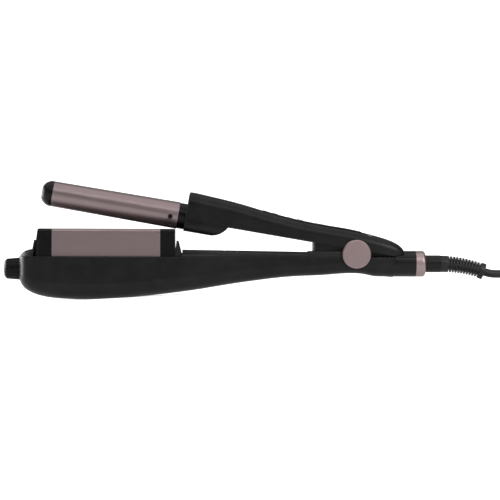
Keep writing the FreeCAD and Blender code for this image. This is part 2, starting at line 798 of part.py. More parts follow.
def make_rear_deck():
    body = new_body("rear_deck")
    island_end = waist_place + dim.block_end_margin
    stops = [island_place]
    stops += [dim.nose_length + taper_length * row[0] for row in TAPER_SHARES[4:]]
    stops += [handle_place + dim.handle_length * row[0] for row in HANDLE_SHARES]
    stops.append(island_end)
    island = []
    ledge = []
    for stop in stops:
        half_width = lower_half_width(stop) - dim.deck_inset
        if float(half_width) > float(dim.island_half_width):
            ledge.append(u_section(body, stop, half_width, 0.0, dim.ledge_rise, dim.deck_round))
            half_width = dim.island_half_width
        share = min((float(stop) - float(island_place)) / (float(handle_place) - float(island_place)), 1.0)
        rise = blend(dim.deck_front_rise, dim.deck_rear_rise, share)
        corner = blend(dim.deck_round, dim.deck_rear_round, share)
        island.append(u_section(body, stop, half_width, 0.0, rise, corner))
    loft(body, island)
    ledge_end = dim.nose_length + taper_length * TAPER_SHARES[5][0]
    ledge_half_width = lower_half_width(ledge_end) - dim.deck_inset
    ledge.append(u_section(body, ledge_end, ledge_half_width, 0.0, dim.ledge_rise, dim.deck_round))
    loft(body, ledge)
    base = new_sketch(body, "XY_Plane")
    base_half_width = dim.wing_inner + dim.fin_width
    add_outline(base, box_points(deck_place, island_place + dim.overrun, -base_half_width, base_half_width))
    pad(body, base, dim.deck_base)
    for side in (-1, 1):
        side_pad(body, [
            (deck_place, 0.0),
            (deck_place + dim.rear_fin_foot, 0.0),
            (deck_place + dim.rear_fin_lean + dim.rear_fin_tip, dim.rear_fin_height),
            (deck_place + dim.rear_fin_lean, dim.rear_fin_height),
            (deck_place, dim.rear_fin_root),
        ], dim.wing_inner, dim.fin_width, side)
    half_width = dim.upper_half_width + dim.free_gap
    floor = dim.seam_level - dim.belly_depth - dim.free_gap
    corner = dim.belly_round + dim.free_gap
    ramp_start, ramp_radius, ramp_end = belly_ramp(dim.free_gap)
    tray = u_section(body, deck_place, half_width + dim.tray_wall, dim.deck_base, floor - dim.tray_wall,
                     corner + dim.tray_wall)
    pad(body, tray, ramp_start + dim.tray_wall - deck_place)
    recess = u_section(body, deck_place - dim.overrun, half_width, dim.rear_fin_height, floor, corner)
    cut = body.newObject("PartDesign::Pocket", "Recess")
    cut.Profile = recess
    bind(cut, "Length", ramp_start - deck_place + dim.overrun)
    cut.Reversed = True
    side_cut(body, [
        (ramp_start - dim.overrun, floor),
        (ramp_start, floor, ramp_radius),
        (ramp_end, dim.seam_level),
        (ramp_start - dim.overrun, dim.seam_level),
    ], half_width)
    block_end = pivot_place + dim.block_end_margin
    crown_end = block_place + dim.block_crown_length
    knuckle = dim.lug_radius
    block = new_sketch(body, "XZ_Plane")
    add_outline(block, [
        (block_place, -dim.block_depth),
        (block_end, -dim.block_depth),
        (block_end, dim.pivot_level),
        (pivot_place + knuckle, dim.pivot_level, knuckle),
        (pivot_place, dim.pivot_level + knuckle),
        (crown_end, dim.block_height),
        (block_place, dim.block_height),
    ])
    pad(body, block, dim.block_half_width * 2, symmetric=True)
    round_block_front(body)
    plinth_place = block_place - dim.plinth_lead
    plinth = u_section(body, plinth_place, dim.handle_half_width - dim.plinth_inset, 0.0, dim.plinth_height,
                       dim.deck_round)
    pad(body, plinth, pivot_place - plinth_place)
    lug_room = dim.lug_radius + dim.free_gap
    for side in (-1, 1):
        bay = new_sketch(body, "XZ_Plane", dim.block_half_width * -side)
        add_outline(bay, box_points(pivot_place - lug_room, island_end + dim.overrun,
                                    -dim.overrun, dim.seam_level))
        notch = body.newObject("PartDesign::Pocket", "Bay")
        notch.Profile = bay
        bind(notch, "Length", dim.handle_half_width)
        notch.Reversed = side < 0
    spring_room = dim.spring_radius + dim.spring_wire + dim.free_gap
    side_cut(body, box_points(pivot_place - dim.spring_leg - dim.free_gap, block_end + dim.overrun,
                              dim.pivot_level - spring_room, dim.block_height), dim.spring_bay_half_width)
    bore = new_sketch(body, "XZ_Plane")
    add_circle(bore, pivot_place, dim.pivot_level, dim.pin_radius)
    pocket(body, bore, dim.block_half_width * 2 + dim.overrun)
    tail = new_sketch(body, "XY_Plane")
    tail_half_width = dim.rear_radius - dim.shell_wall - dim.slide_gap
    add_outline(tail, box_points(block_end - dim.overrun, rear_place, -tail_half_width, tail_half_width))
    pad(body, tail, dim.deck_tail_thickness, backwards=True)
    rib = new_sketch(body, "XY_Plane", -dim.deck_tail_thickness)
    rib_half_width = dim.tail_rib_half_width
    add_outline(rib, box_points(block_end - dim.overrun, rear_place - dim.tail_rib_setback, -rib_half_width,
                                rib_half_width))
    pad(body, rib, dim.deck_tail_thickness + dim.tail_rib_height)
    keep_lower(body)


def make_rear_cap():
    body = new_body("rear_cap")
    ring = new_sketch(body, "YZ_Plane", rear_place + dim.seam_groove)
    seam = -(dim.rear_axis_drop + dim.rear_seam_drop)
    outer = chord(dim.rear_radius, dim.rear_seam_drop)
    inner_radius = dim.rear_radius - dim.shell_wall
    inner = chord(inner_radius, dim.rear_seam_drop)
    crown = dim.rear_radius - dim.rear_axis_drop
    axis = -dim.rear_axis_drop
    add_outline(ring, [
        (outer, seam, dim.rear_radius),
        (dim.rear_radius, axis, dim.rear_radius),
        (0.0, crown, dim.rear_radius),
        (-dim.rear_radius, axis, dim.rear_radius),
        (-outer, seam),
        (-inner, seam, -inner_radius),
        (-inner_radius, axis, -inner_radius),
        (0.0, crown - dim.shell_wall, -inner_radius),
        (inner_radius, axis, -inner_radius),
        (inner, seam),
    ])
    pad(body, ring, dim.rear_cap_length - dim.seam_groove)
    heel = OPEN.multVec(FreeCAD.Vector(float(upper_end - dim.tail_cut_length), 0, float(dim.seam_level)))
    toe = OPEN.multVec(FreeCAD.Vector(float(upper_end), 0, float(dim.seam_level + dim.tail_cut_rise)))
    gap = float(dim.free_gap)
    side_cut(body, [
        (rear_place - dim.overrun, heel.z - gap),
        (toe.x + gap, toe.z - gap),
        (toe.x + gap, dim.wing_height),
        (rear_place - dim.overrun, dim.wing_height),
    ], dim.rear_radius + dim.overrun)
    keep_lower(body)


def make_rear_collar():
    bore = dim.neck_radius + dim.slide_gap
    end = collar_place + dim.collar_length
    body = turned("rear_collar", [
        (collar_place, bore),
        (end, bore),
        (end, dim.rear_radius - dim.collar_round, dim.collar_round),
        (end - dim.collar_round, dim.rear_radius),
        (collar_place, dim.rear_radius),
    ])
    keep_lower(body, move(z=-dim.rear_axis_drop))


def make_swivel():
    flange_end = collar_place - dim.slide_gap
    flange_place = flange_end - dim.swivel_flange
    hub_place = flange_place - dim.hub_length
    neck = turned("swivel_neck", [
        (hub_place, 0.0),
        (neck_end_place, 0.0),
        (neck_end_place, dim.neck_radius),
        (flange_end, dim.neck_radius),
        (flange_end, dim.swivel_flange_radius),
        (flange_place, dim.swivel_flange_radius),
        (flange_place, dim.hub_radius),
        (hub_place, dim.hub_radius),
    ])
    keep_lower(neck, move(z=-dim.rear_axis_drop))
    rings = []
    for index in range(2):
        start = float(hub_place + dim.slip_ring_width / 2 + dim.slip_ring_pitch * index)
        base = FreeCAD.Vector(start, 0, 0)
        along = FreeCAD.Vector(1, 0, 0)
        width = float(dim.slip_ring_width)
        outer = Part.makeCylinder(float(dim.slip_ring_radius), width, base, along)
        rings.append(outer.cut(Part.makeCylinder(float(dim.hub_radius), width, base, along)))
    keep_lower(feature_of("slip_rings", Part.makeCompound(rings)), move(z=-dim.rear_axis_drop))
    block = new_body("contact_block")
    floor_radius = dim.rear_radius - dim.shell_wall
    low = -chord(floor_radius, dim.contact_half_width)
    sketch = new_sketch(block, "YZ_Plane", rear_place)
    high = -(dim.slip_ring_radius + dim.slide_gap)
    add_outline(sketch, [
        (-dim.contact_half_width, high),
        (-dim.contact_half_width, low, floor_radius),
        (dim.contact_half_width, low),
        (dim.contact_half_width, high),
    ])
    pad(block, sketch, dim.hub_length)
    keep_lower(block, move(z=-dim.rear_axis_drop))


def make_cord_guard():
    """A bent taper with slots above and below, which leave a spine along each side, and an end flange."""
    rings = []
    for step in range(GUARD_RINGS):
        share = step / (GUARD_RINGS - 1)
        radius = float(blend(dim.guard_radius, dim.guard_end_radius, share))
        rings.append(Part.Wire(Part.Circle(guard_point(share), guard_direction(share), radius).toShape()))
    solid = Part.makeLoft(rings, True)
    flange_start = guard_point(1) - guard_direction(1) * float(dim.guard_flange)
    solid = solid.fuse(Part.makeCylinder(float(dim.guard_flange_radius), float(dim.guard_flange),
                                         flange_start, guard_direction(1)))
    reach = float(dim.guard_radius + dim.overrun)
    slots = []
    for index in range(GUARD_RIBS):
        share = FIRST_SLOT_SHARE + (LAST_SLOT_SHARE - FIRST_SLOT_SHARE) * index / (GUARD_RIBS - 1)
        outside = float(blend(dim.guard_radius, dim.guard_end_radius, share))
        width = float(dim.guard_slot)
        core = Part.makeCylinder(outside - float(dim.guard_slot_depth), width)
        ring = Part.makeCylinder(reach, width).cut(core)
        spine = float(dim.guard_spine)
        bar = Part.makeBox(2 * spine, 2 * reach, width, FreeCAD.Vector(-spine, -reach, 0))
        ring = ring.cut(bar)
        tilt = RIGHT_ANGLE + float(dim.guard_bend) * share
        start = guard_point(share) - guard_direction(share) * (width / 2)
        ring.Placement = move(*start) * turn_about((0, 1, 0), tilt)
        slots.append(ring)
    solid = solid.cut(Part.makeCompound(slots)).removeSplitter()
    keep_lower(feature_of("cord_guard", solid.Solids[0]))


# Hinge

def make_hinge():
    cover_place = dim.handle_half_width + dim.slide_gap / 2
    pin = cylinder_of("hinge_pin", dim.pin_radius, cover_place * 2)
    across = turn_about((1, 0, 0), -RIGHT_ANGLE)
    keep_lower(pin, move(pivot_place, -cover_place, dim.pivot_level) * across)
    for label, side in (("pivot_cover_near", -1), ("pivot_cover_far", 1)):
        cover = turned(label, [
            (0.0, 0.0),
            (dim.cover_thickness, 0.0),
            (dim.cover_thickness, dim.cover_radius - dim.cover_bevel),
            (dim.cover_thickness - dim.cover_bevel, dim.cover_radius),
            (0.0, dim.cover_radius),
        ])
        outwards = turn_about((0, 0, 1), RIGHT_ANGLE * side)
        keep_lower(cover, move(pivot_place, cover_place * side, dim.pivot_level) * outwards)
    bushes = []
    along = FreeCAD.Vector(0, 1, 0)
    for side in (-1, 1):
        start = float(dim.block_half_width + dim.slide_gap)
        if side < 0:
            start = -start - float(dim.lug_thickness)
        base = FreeCAD.Vector(0, start, 0)
        thickness = float(dim.lug_thickness)
        bore = float(dim.pin_radius + dim.running_fit)
        outer = Part.makeCylinder(bore + float(dim.bush_wall), thickness, base, along)
        bushes.append(outer.cut(Part.makeCylinder(bore, thickness, base, along)))
    keep_upper(feature_of("pivot_bushes", Part.makeCompound(bushes)), PIVOT)


def half_turn(start, end, bulge):
    """A half circle from start to end, which bulges square to its chord."""
    middle = (start + end) / 2
    radius = (end - start).Length / 2
    return Part.Arc(start, middle + bulge * radius, end).toShape()


def swept(edges, radius):
    """A round tube along edges that are tangent to each other."""
    path = Part.Wire(edges)
    start = path.OrderedEdges[0]
    at = start.valueAt(start.FirstParameter)
    along = start.tangentAt(start.FirstParameter)
    profile = Part.Wire(Part.Circle(at, along, float(radius)).toShape())
    return path.makePipeShell([profile], True, False)


def report_tube(label, solid, edges, radius):
    length = sum(edge.Length for edge in edges)
    expected = math.pi * float(radius) ** 2 * length
    print("%s: length %.1f, volume %.4f of section times length" % (label, length, solid.Volume / expected))


def report_self_gap(label, edges, radius):
    """Least distance between stretches of a wound tube that aren't next to each other."""
    samples = []
    along = 0.0
    for edge in edges:
        for point in edge.discretize(SAMPLES_PER_ARC + 1)[:-1]:
            samples.append((along + (point - edge.valueAt(edge.FirstParameter)).Length, point))
        along += edge.Length
    apart = 2 * FULL_CIRCLE * float(radius)
    least = min((one[1] - two[1]).Length for one in samples for two in samples if two[0] - one[0] > apart)
    print("%s: least gap to itself %.2f" % (label, least - 2 * float(radius)))


def make_torsion_spring():
    """Coils round the hinge pin, with one leg under the upper arm's roof and one on the hinge block."""
    radius = float(dim.spring_radius)
    step = float(dim.spring_pitch) / 2
    side = -step * SPRING_HALF_TURNS / 2
    height = radius
    leg = FreeCAD.Vector(-float(dim.spring_leg), 0, 0)
    at = FreeCAD.Vector(0, side, height)
    edges = [Part.LineSegment(at + leg, at).toShape()]
    bulge = FreeCAD.Vector(1, 0, 0)
    for index in range(SPRING_HALF_TURNS):
        side += step
        height = -height
        following = FreeCAD.Vector(0, side, height)
        edges.append(half_turn(at, following, bulge))
        at = following
        bulge = -bulge
    edges.append(Part.LineSegment(at, at + leg).toShape())
    spring = swept(edges, dim.spring_wire)
    report_tube("torsion_spring", spring, edges, dim.spring_wire)
    report_self_gap("torsion_spring", edges, dim.spring_wire)
    keep_lower(feature_of("torsion_spring", spring), PIVOT)


# Wings and their lift

def make_dial():
    end = -dim.slide_gap
    tip = end - dim.dial_length
    body = turned("dial", [
        (tip, 0.0),
        (tip + dim.dial_length - dim.screw_socket, 0.0),
        (tip + dim.dial_length - dim.screw_socket, dim.screw_radius),
        (end, dim.screw_radius),
        (end, dim.dial_radius),
        (tip + dim.dial_round, dim.dial_end_radius),
        (tip, dim.dial_end_radius - dim.dial_round),
    ])
    taper = math.degrees(math.atan2(dim.dial_radius - dim.dial_end_radius, dim.dial_length))
    flute = frame_sketch(body, move(tip) * turn_about((0, 1, 0), RIGHT_ANGLE - taper))
    add_circle(flute, -(dim.dial_end_radius + dim.flute_radius * FLUTE_CENTRE_SHARE), 0.0, dim.flute_radius)
    cut = body.newObject("PartDesign::Pocket", "Flute")
    cut.Profile = flute
    bind(cut, "Length", (dim.dial_length + dim.overrun) * 2)
    cut.Midplane = True
    doc.recompute()
    ring = body.newObject("PartDesign::PolarPattern", "Flutes")
    ring.Originals = [cut]
    axis_line = [item for item in body.Origin.OriginFeatures if item.Role == "X_Axis"][0]
    ring.Axis = (axis_line, [""])
    ring.Angle = FULL_TURN
    ring.Occurrences = DIAL_FLUTES
    body.Tip = ring
    keep_lower(body, move(z=-dim.dial_drop))


def bearing_places():
    return dim.bearing_place, wing_back


def make_screw():
    front = -(dim.slide_gap + dim.screw_socket)
    back = bearing_places()[1] + dim.bearing_length
    collar_start = dim.shell_wall + dim.bush_flange + dim.slide_gap
    screw = turned("lead_screw", [
        (front, 0.0),
        (back, 0.0),
        (back, dim.screw_radius),
        (collar_start + dim.bush_flange, dim.screw_radius),
        (collar_start + dim.bush_flange, dim.bush_radius),
        (collar_start, dim.bush_radius),
        (collar_start, dim.screw_radius),
        (front, dim.screw_radius),
    ])
    keep_lower(screw, move(z=-dim.dial_drop))
    bore = dim.screw_radius + dim.running_fit
    bush = turned("dial_bush", [
        (0.0, bore),
        (dim.shell_wall + dim.bush_flange, bore),
        (dim.shell_wall + dim.bush_flange, dim.bush_flange_radius),
        (dim.shell_wall, dim.bush_flange_radius),
        (dim.shell_wall, dim.bush_radius),
        (0.0, dim.bush_radius),
    ])
    keep_lower(bush, move(z=-dim.dial_drop))
    for label, place in zip(("front_bearing", "rear_bearing"), bearing_places()):
        body = new_body(label)
        sketch = new_sketch(body, "YZ_Plane", place)
        shallow = min(lower_depth(place), lower_depth(place + dim.bearing_length))
        low = dim.shell_wall + dim.free_gap - shallow
        high = -(dim.cradle_floor * 2)
        width = dim.bearing_half_width
        add_outline(sketch, box_points(-width, width, low, high))
        add_circle(sketch, 0.0, -dim.dial_drop, bore)
        pad(body, sketch, dim.bearing_length)
        keep_lower(body)


def make_slider():
    """Two slotted plates joined by the nut that runs on the lead screw."""
    body = new_body("lift_slider")
    nut_end = dim.nut_place + dim.nut_length
    nut_low = -(dim.dial_drop + dim.nut_height)
    nut_high = -(dim.dial_drop - dim.nut_height + dim.slide_gap)
    nut = new_sketch(body, "XZ_Plane")
    add_outline(nut, box_points(dim.nut_place, nut_end, nut_low, nut_high))
    pad(body, nut, dim.slider_half_width * 2 + dim.slider_plate, symmetric=True)
    margin = dim.slider_margin
    left = dim.front_pin_place - dim.slider_travel - margin
    right = dim.rear_pin_place + margin
    top = margin - dim.cross_pin_drop
    bottom = -(dim.cross_pin_drop + dim.lift_travel + margin)
    shoulder = dim.rear_pin_place - dim.slider_travel / 2
    for side in (-1, 1):
        side_pad(body, [
            (left, bottom),
            (shoulder, bottom),
            (right, -(dim.cross_pin_drop + margin)),
            (right, top),
            (left, top),
        ], dim.slider_half_width, dim.slider_plate, side)
    width = dim.cross_pin_radius + dim.slot_clearance
    slant = math.hypot(dim.slider_travel, dim.lift_travel)
    over = float(dim.lift_travel) / slant
    up = float(dim.slider_travel) / slant
    for place in (dim.front_pin_place, dim.rear_pin_place):
        high_x, high_z = place, -dim.cross_pin_drop
        low_x, low_z = place - dim.slider_travel, -(dim.cross_pin_drop + dim.lift_travel)
        side_cut(body, [
            (high_x + width * over, high_z - width * up, width),
            (high_x + width * up, high_z + width * over, width),
            (high_x - width * over, high_z + width * up),
            (low_x - width * over, low_z + width * up, width),
            (low_x - width * up, low_z - width * over, width),
            (low_x + width * over, low_z - width * up),
        ], dim.slider_half_width + dim.slider_plate + dim.overrun)
    bore = new_sketch(body, "YZ_Plane", dim.nut_place)
    add_circle(bore, 0.0, -dim.dial_drop, dim.screw_radius + dim.running_fit)
    pocket(body, bore, (dim.nut_length + dim.overrun) * 2)
    keep_lower(body)


def make_rails():
    top = -dim.wing_drop
    bottom = top - dim.rail_height
    left = wing_front + dim.rail_margin
    right = wing_end - dim.rail_margin
    lug_low = -(dim.cross_pin_drop + dim.lug_length / 2)
    pins = []
    for label, side in (("wing_rail_near", -1), ("wing_rail_far", 1)):
        body = new_body(label)
        side_pad(body, box_points(left, right, bottom, top), dim.rail_inner, dim.rail_width, side)
        for place in (dim.front_pin_place, dim.rear_pin_place):
            half = dim.lug_length / 2
            side_pad(body, box_points(place - half, place + half, lug_low, bottom), dim.rail_inner,
                     dim.lug_width, side)
        holes = new_sketch(body, "XZ_Plane")
        for place in (dim.front_pin_place, dim.rear_pin_place):
            add_circle(holes, place, -dim.cross_pin_drop, dim.cross_pin_radius)
        pocket(body, holes, (dim.rail_inner + dim.rail_width + dim.overrun) * 2)
        keep_lower(body)
    length = float(dim.rail_inner + dim.lug_width)
    for place in (dim.front_pin_place, dim.rear_pin_place):
        base = FreeCAD.Vector(float(place), -length, -float(dim.cross_pin_drop))
        pins.append(Part.makeCylinder(float(dim.cross_pin_radius), 2 * length, base, FreeCAD.Vector(0, 1, 0)))
    keep_lower(feature_of("cross_pins", Part.makeCompound(pins)))


def wing_outline(side, wall=None):
    """Cross-section of one wing: a bar with a rounded top, or an open channel of the given wall."""
    inner, outer = (dim.wing_inner, wing_outer) if side > 0 else (-wing_outer, -dim.wing_inner)
    top = dim.wing_height
    low = -dim.wing_drop
    corner = dim.wing_round
    points = [
        (outer, low),
        (outer, top - corner, corner),
        (outer - corner, top),
        (inner + corner, top, corner),
        (inner, top - corner),
        (inner, low),
    ]
    if wall is not None:
        bend = corner - wall
        points += [
            (inner + wall, low),
            (inner + wall, top - corner, -bend),
            (inner + corner, top - wall),
            (outer - corner, top - wall, -bend),
            (outer - wall, top - corner),
            (outer - wall, low),
        ]
    return points


def make_wings():
    heaters = []
    for name, side in (("near", -1), ("far", 1)):
        wing = new_body("wing_" + name)
        channel = new_sketch(wing, "YZ_Plane", dim.wing_place)
        add_outline(channel, wing_outline(side, dim.wing_wall))
        pad(wing, channel, dim.wing_length)
        keep_lower(wing)
        front = new_body("wing_front_cap_" + name)
        bar = new_sketch(front, "YZ_Plane", wing_front)
        add_outline(bar, wing_outline(side))
        pad(front, bar, dim.front_cap_length)
        low = -dim.wing_drop - dim.overrun
        high = dim.wing_height + dim.overrun
        brow = dim.front_cap_brow
        side_cut(front, [
            (wing_front - dim.overrun, low),
            (wing_front, low),
            (wing_front, 0.0),
            (wing_front + dim.front_cap_lean * (dim.wing_height - brow) / dim.wing_height,
             dim.wing_height - brow, -brow),
            (wing_front + dim.front_cap_lean + brow, dim.wing_height),
            (wing_front + dim.front_cap_lean + brow, high),
            (wing_front - dim.overrun, high),
        ], wing_outer + dim.overrun)
        corner = dim.front_cap_corner
        plan = new_sketch(front, "XY_Plane")
        edge = wing_outer * side
        past = dim.overrun * side
        add_outline(plan, [
            (wing_front - dim.overrun, edge - corner * side),
            (wing_front, edge - corner * side, corner * -side),
            (wing_front + corner, edge),
            (wing_front + corner, edge + past),
            (wing_front - dim.overrun, edge + past),
        ])
        pocket(front, plan, (dim.wing_height + dim.overrun) * 2)
        keep_lower(front)
        rear = new_body("wing_rear_cap_" + name)
        bar = new_sketch(rear, "YZ_Plane", wing_back)
        add_outline(bar, wing_outline(side))
        pad(rear, bar, dim.rear_cap_block)
        keep_lower(rear)
        room = float(dim.wing_width - dim.wing_wall * 2)
        middle = float(dim.wing_place + (dim.wing_length - dim.heater_length) / 2)
        start = float(dim.wing_inner + dim.wing_wall) if side > 0 else -float(wing_outer - dim.wing_wall)
        high = float(dim.wing_height - dim.wing_round)
        heaters.append(Part.makeBox(float(dim.heater_length), room, float(dim.heater_height),
                                    FreeCAD.Vector(middle, start, high - float(dim.heater_height))))
    keep_lower(feature_of("wing_heaters", Part.makeCompound(heaters)))


def make_cradle():
    body = new_body("cradle")
    place = bearing_places()[0]
    sketch = new_sketch(body, "YZ_Plane", place)
    radius = dim.barrel_root_radius + dim.cradle_gap
    lip = chord(radius, dim.barrel_level - dim.cradle_rim)
    low = -(dim.cradle_floor * 2)
    add_outline(sketch, [
        (-dim.cradle_half_width, low),
        (dim.cradle_half_width, low),
        (dim.cradle_half_width, dim.cradle_rim),
        (lip, dim.cradle_rim, -radius),
        (-lip, dim.cradle_rim),
        (-dim.cradle_half_width, dim.cradle_rim),
    ])
    pad(body, sketch, bearing_places()[1] + dim.bearing_length - place)
    keep_lower(body)


# Upper arm

def upper_sections(body, wall, mouth):
    """Cross-sections of the upper shell, drawn in by a wall."""
    sections = []
    for along, across, up in UPPER_SHARES:
        place = blend(upper_place + wall, upper_end - wall, along)
        half_width = dim.upper_half_width * across - wall
        level = dim.seam_level + dim.upper_rise * up - wall
        sections.append(u_section(body, place, half_width, mouth, level, half_width * UPPER_ROUND_SHARE))
    return sections


def panel_point(along, up):
    """A point of the control panel's own frame, in the closed iron's side view."""
    return (panel_place + along * math.cos(panel_slope) + up * math.sin(panel_slope),
            panel_level - along * math.sin(panel_slope) + up * math.cos(panel_slope))


def panel_stations():
    """Places of the control panel's cross-sections: its two ends and the shell's own ones between them."""
    inner = [upper_place + dim.upper_length * row[0] for row in UPPER_SHARES]
    low = float(panel_place + dim.panel_half_width)
    high = float(panel_end - dim.panel_half_width)
    kept = [place for place in inner if low < float(place) < high]
    return [panel_place] + kept + [panel_end]


def indicator_frame():
    """Frame of the indicator light on the near shoulder of the upper shell, with Z square to the skin."""
    along = (float(indicator_place) - float(upper_place)) / float(dim.upper_length)
    half_width = float(dim.upper_half_width) * share_between(UPPER_SHARES, along, 1)
    top = float(dim.seam_level) + float(dim.upper_rise) * share_between(UPPER_SHARES, along, 2)
    corner = half_width * UPPER_ROUND_SHARE
    centre = move(indicator_place, corner - half_width, top - corner)
    return centre * turn_about((1, 0, 0), dim.indicator_angle) * move(z=corner)


def spring_rib_level():
    """Lower edge of the rib that the spring's leg bears on when the arm is open."""
    leg = move(dim.spring_rib - dim.spring_leg, 0, dim.spring_radius + dim.spring_wire + dim.slide_gap)
    return (OPEN.inverse() * PIVOT * leg).Base.z


def cut_panel_holes(body, frame):
    """Round holes for the buttons, square to the panel's own frame."""
    sketch = frame_sketch(body, frame)
    for share in BUTTON_SHARES.values():
        add_circle(sketch, dim.panel_length * share, 0.0, dim.button_radius + dim.slide_gap)
    pocket(body, sketch, dim.upper_wall * 4)


def cut_window(body):
    """An upright window for the display, through the top of the closed iron."""
    start = panel_place + dim.panel_length * LENS_SHARE
    sketch = new_sketch(body, "XY_Plane", dim.seam_level + dim.upper_rise)
    add_outline(sketch, box_points(start, start + dim.lens_length, -dim.lens_half_width, dim.lens_half_width))
    cut = body.newObject("PartDesign::Pocket", "Window")
    cut.Profile = sketch
    bind(cut, "Length", dim.upper_rise)


def bevel_front(body, skin):
    """A small bevel round the front edge of the upper shell, above its mouth."""
    doc.recompute()
    names = []
    for index, edge in enumerate(skin.Shape.Edges, start=1):
        box = edge.BoundBox
        at_front = box.XMax < float(upper_place + dim.slide_gap)
        if at_front and box.ZMax > float(dim.seam_level + dim.slide_gap):
            names.append("Edge%d" % index)
    bevel = body.newObject("PartDesign::Chamfer", "FrontBevel")
    bevel.Base = (skin, names)
    bind(bevel, "Size", dim.front_bevel)


def barrel_bore(body, start, length, radius):
    """A round cut along the barrel's axis."""
    sketch = new_sketch(body, "YZ_Plane", start)
    add_circle(sketch, 0.0, dim.barrel_level, radius)
    cut = body.newObject("PartDesign::Pocket", "Bore")
    cut.Profile = sketch
    bind(cut, "Length", length)
    cut.Reversed = True


def make_upper_shell():
    body = new_body("upper_shell")
    loft(body, upper_sections(body, 0.0, dim.seam_level))
    hollow = upper_sections(body, dim.upper_wall, dim.seam_level - dim.overrun)
    bevel_front(body, loft(body, hollow, "PartDesign::SubtractiveLoft"))
    side_cut(body, [
        (upper_end - dim.tail_cut_length, dim.seam_level - dim.overrun),
        (upper_end + dim.overrun, dim.seam_level - dim.overrun),
        (upper_end + dim.overrun, dim.seam_level + dim.tail_cut_rise),
        (upper_end, dim.seam_level + dim.tail_cut_rise),
        (upper_end - dim.tail_cut_length, dim.seam_level),
    ], dim.upper_half_width + dim.overrun)
    barrel_bore(body, upper_place - dim.overrun, dim.overrun * 2 + dim.upper_wall, dim.collar_radius)
    lug_roof = dim.seam_level + dim.upper_rise * LUG_ROOF_SHARE
    knuckle = dim.lug_radius
    lug_inner = dim.block_half_width + dim.slide_gap
    lug_front = pivot_place - knuckle
    lug_back = pivot_place + knuckle
    for side in (-1, 1):
        root = box_points(lug_front, lug_back, dim.seam_level, lug_roof)
        side_pad(body, root, lug_inner, dim.lug_root, side)
        side_pad(body, [
            (lug_front, dim.pivot_level, knuckle),
            (pivot_place, dim.pivot_level - knuckle, knuckle),
            (lug_back, dim.pivot_level),
            (lug_back, lug_roof),
            (lug_front, lug_roof),
        ], lug_inner, dim.lug_thickness, side)
    bore = new_sketch(body, "XZ_Plane")
    add_circle(bore, pivot_place, dim.pivot_level, dim.pin_radius + dim.running_fit + dim.bush_wall)
    pocket(body, bore, (dim.block_half_width + dim.lug_thickness + dim.slide_gap + dim.slide_gap) * 2)
    rib_back = pivot_place - dim.spring_leg + dim.spring_rib
    rib = new_sketch(body, "XZ_Plane")
    add_outline(rib, box_points(pivot_place - dim.spring_leg, rib_back, spring_rib_level(),
                                dim.seam_level + dim.upper_rise * SPRING_RIB_ROOF_SHARE))
    pad(body, rib, (dim.spring_bay_half_width - dim.slide_gap) * 2, symmetric=True)
    shelf = -dim.board_drop
    for side in (-1, 1):
        side_pad(body, [
            panel_point(0.0, shelf - dim.shelf_height),
            panel_point(dim.board_length, shelf - dim.shelf_height),
            panel_point(dim.board_length, shelf),
            panel_point(0.0, shelf),
        ], dim.board_half_width - dim.shelf_width / 2, dim.shelf_width, side)
    seat = []
    for place in panel_stations():
        low = upper_top(place) - dim.panel_seat - dim.panel_bed
        sketch = new_sketch(body, "YZ_Plane", place)
        half_width = dim.panel_half_width
        add_outline(sketch, box_points(-half_width, half_width, low, low + dim.upper_rise))
        seat.append(sketch)
    loft(body, seat, "PartDesign::SubtractiveLoft")
    cut_panel_holes(body, PANEL)
    cut_window(body)
    light = frame_sketch(body, indicator_frame())
    add_circle(light, 0.0, 0.0, dim.indicator_radius)
    pocket(body, light, dim.indicator_depth * 2)
    keep_upper(body)
    lens = cylinder_of("indicator_lens", dim.indicator_radius, dim.indicator_depth)
    keep_upper(lens, indicator_frame() * move(z=dim.indicator_proud - dim.indicator_depth))


def make_belly():
    body = new_body("belly_cover")
    start = upper_place
    floor = dim.seam_level - dim.belly_depth
    cross = u_section(body, start, dim.belly_half_width, dim.seam_level, floor, dim.belly_round)
    pad(body, cross, dim.belly_length)
    ramp_start, ramp_radius, ramp_end = belly_ramp(0.0)
    side_cut(body, [
        (ramp_start, floor - dim.overrun),
        (ramp_end + dim.overrun, floor - dim.overrun),
        (ramp_end + dim.overrun, dim.seam_level),
        (ramp_end, dim.seam_level, -ramp_radius),
        (ramp_start, floor),
    ], dim.belly_half_width + dim.overrun)
    socket = dim.overrun + dim.collar_socket + dim.upper_wall
    barrel_bore(body, start - dim.overrun, socket, dim.collar_radius)
    hollow = new_sketch(body, "XZ_Plane")
    add_outline(hollow, box_points(start + dim.collar_socket + dim.upper_wall + dim.belly_wall,
                                   ramp_start + dim.belly_wall, floor + dim.belly_wall,
                                   dim.seam_level + dim.overrun))
    pocket(body, hollow, (dim.belly_half_width - dim.belly_wall) * 2)
    keep_upper(body)


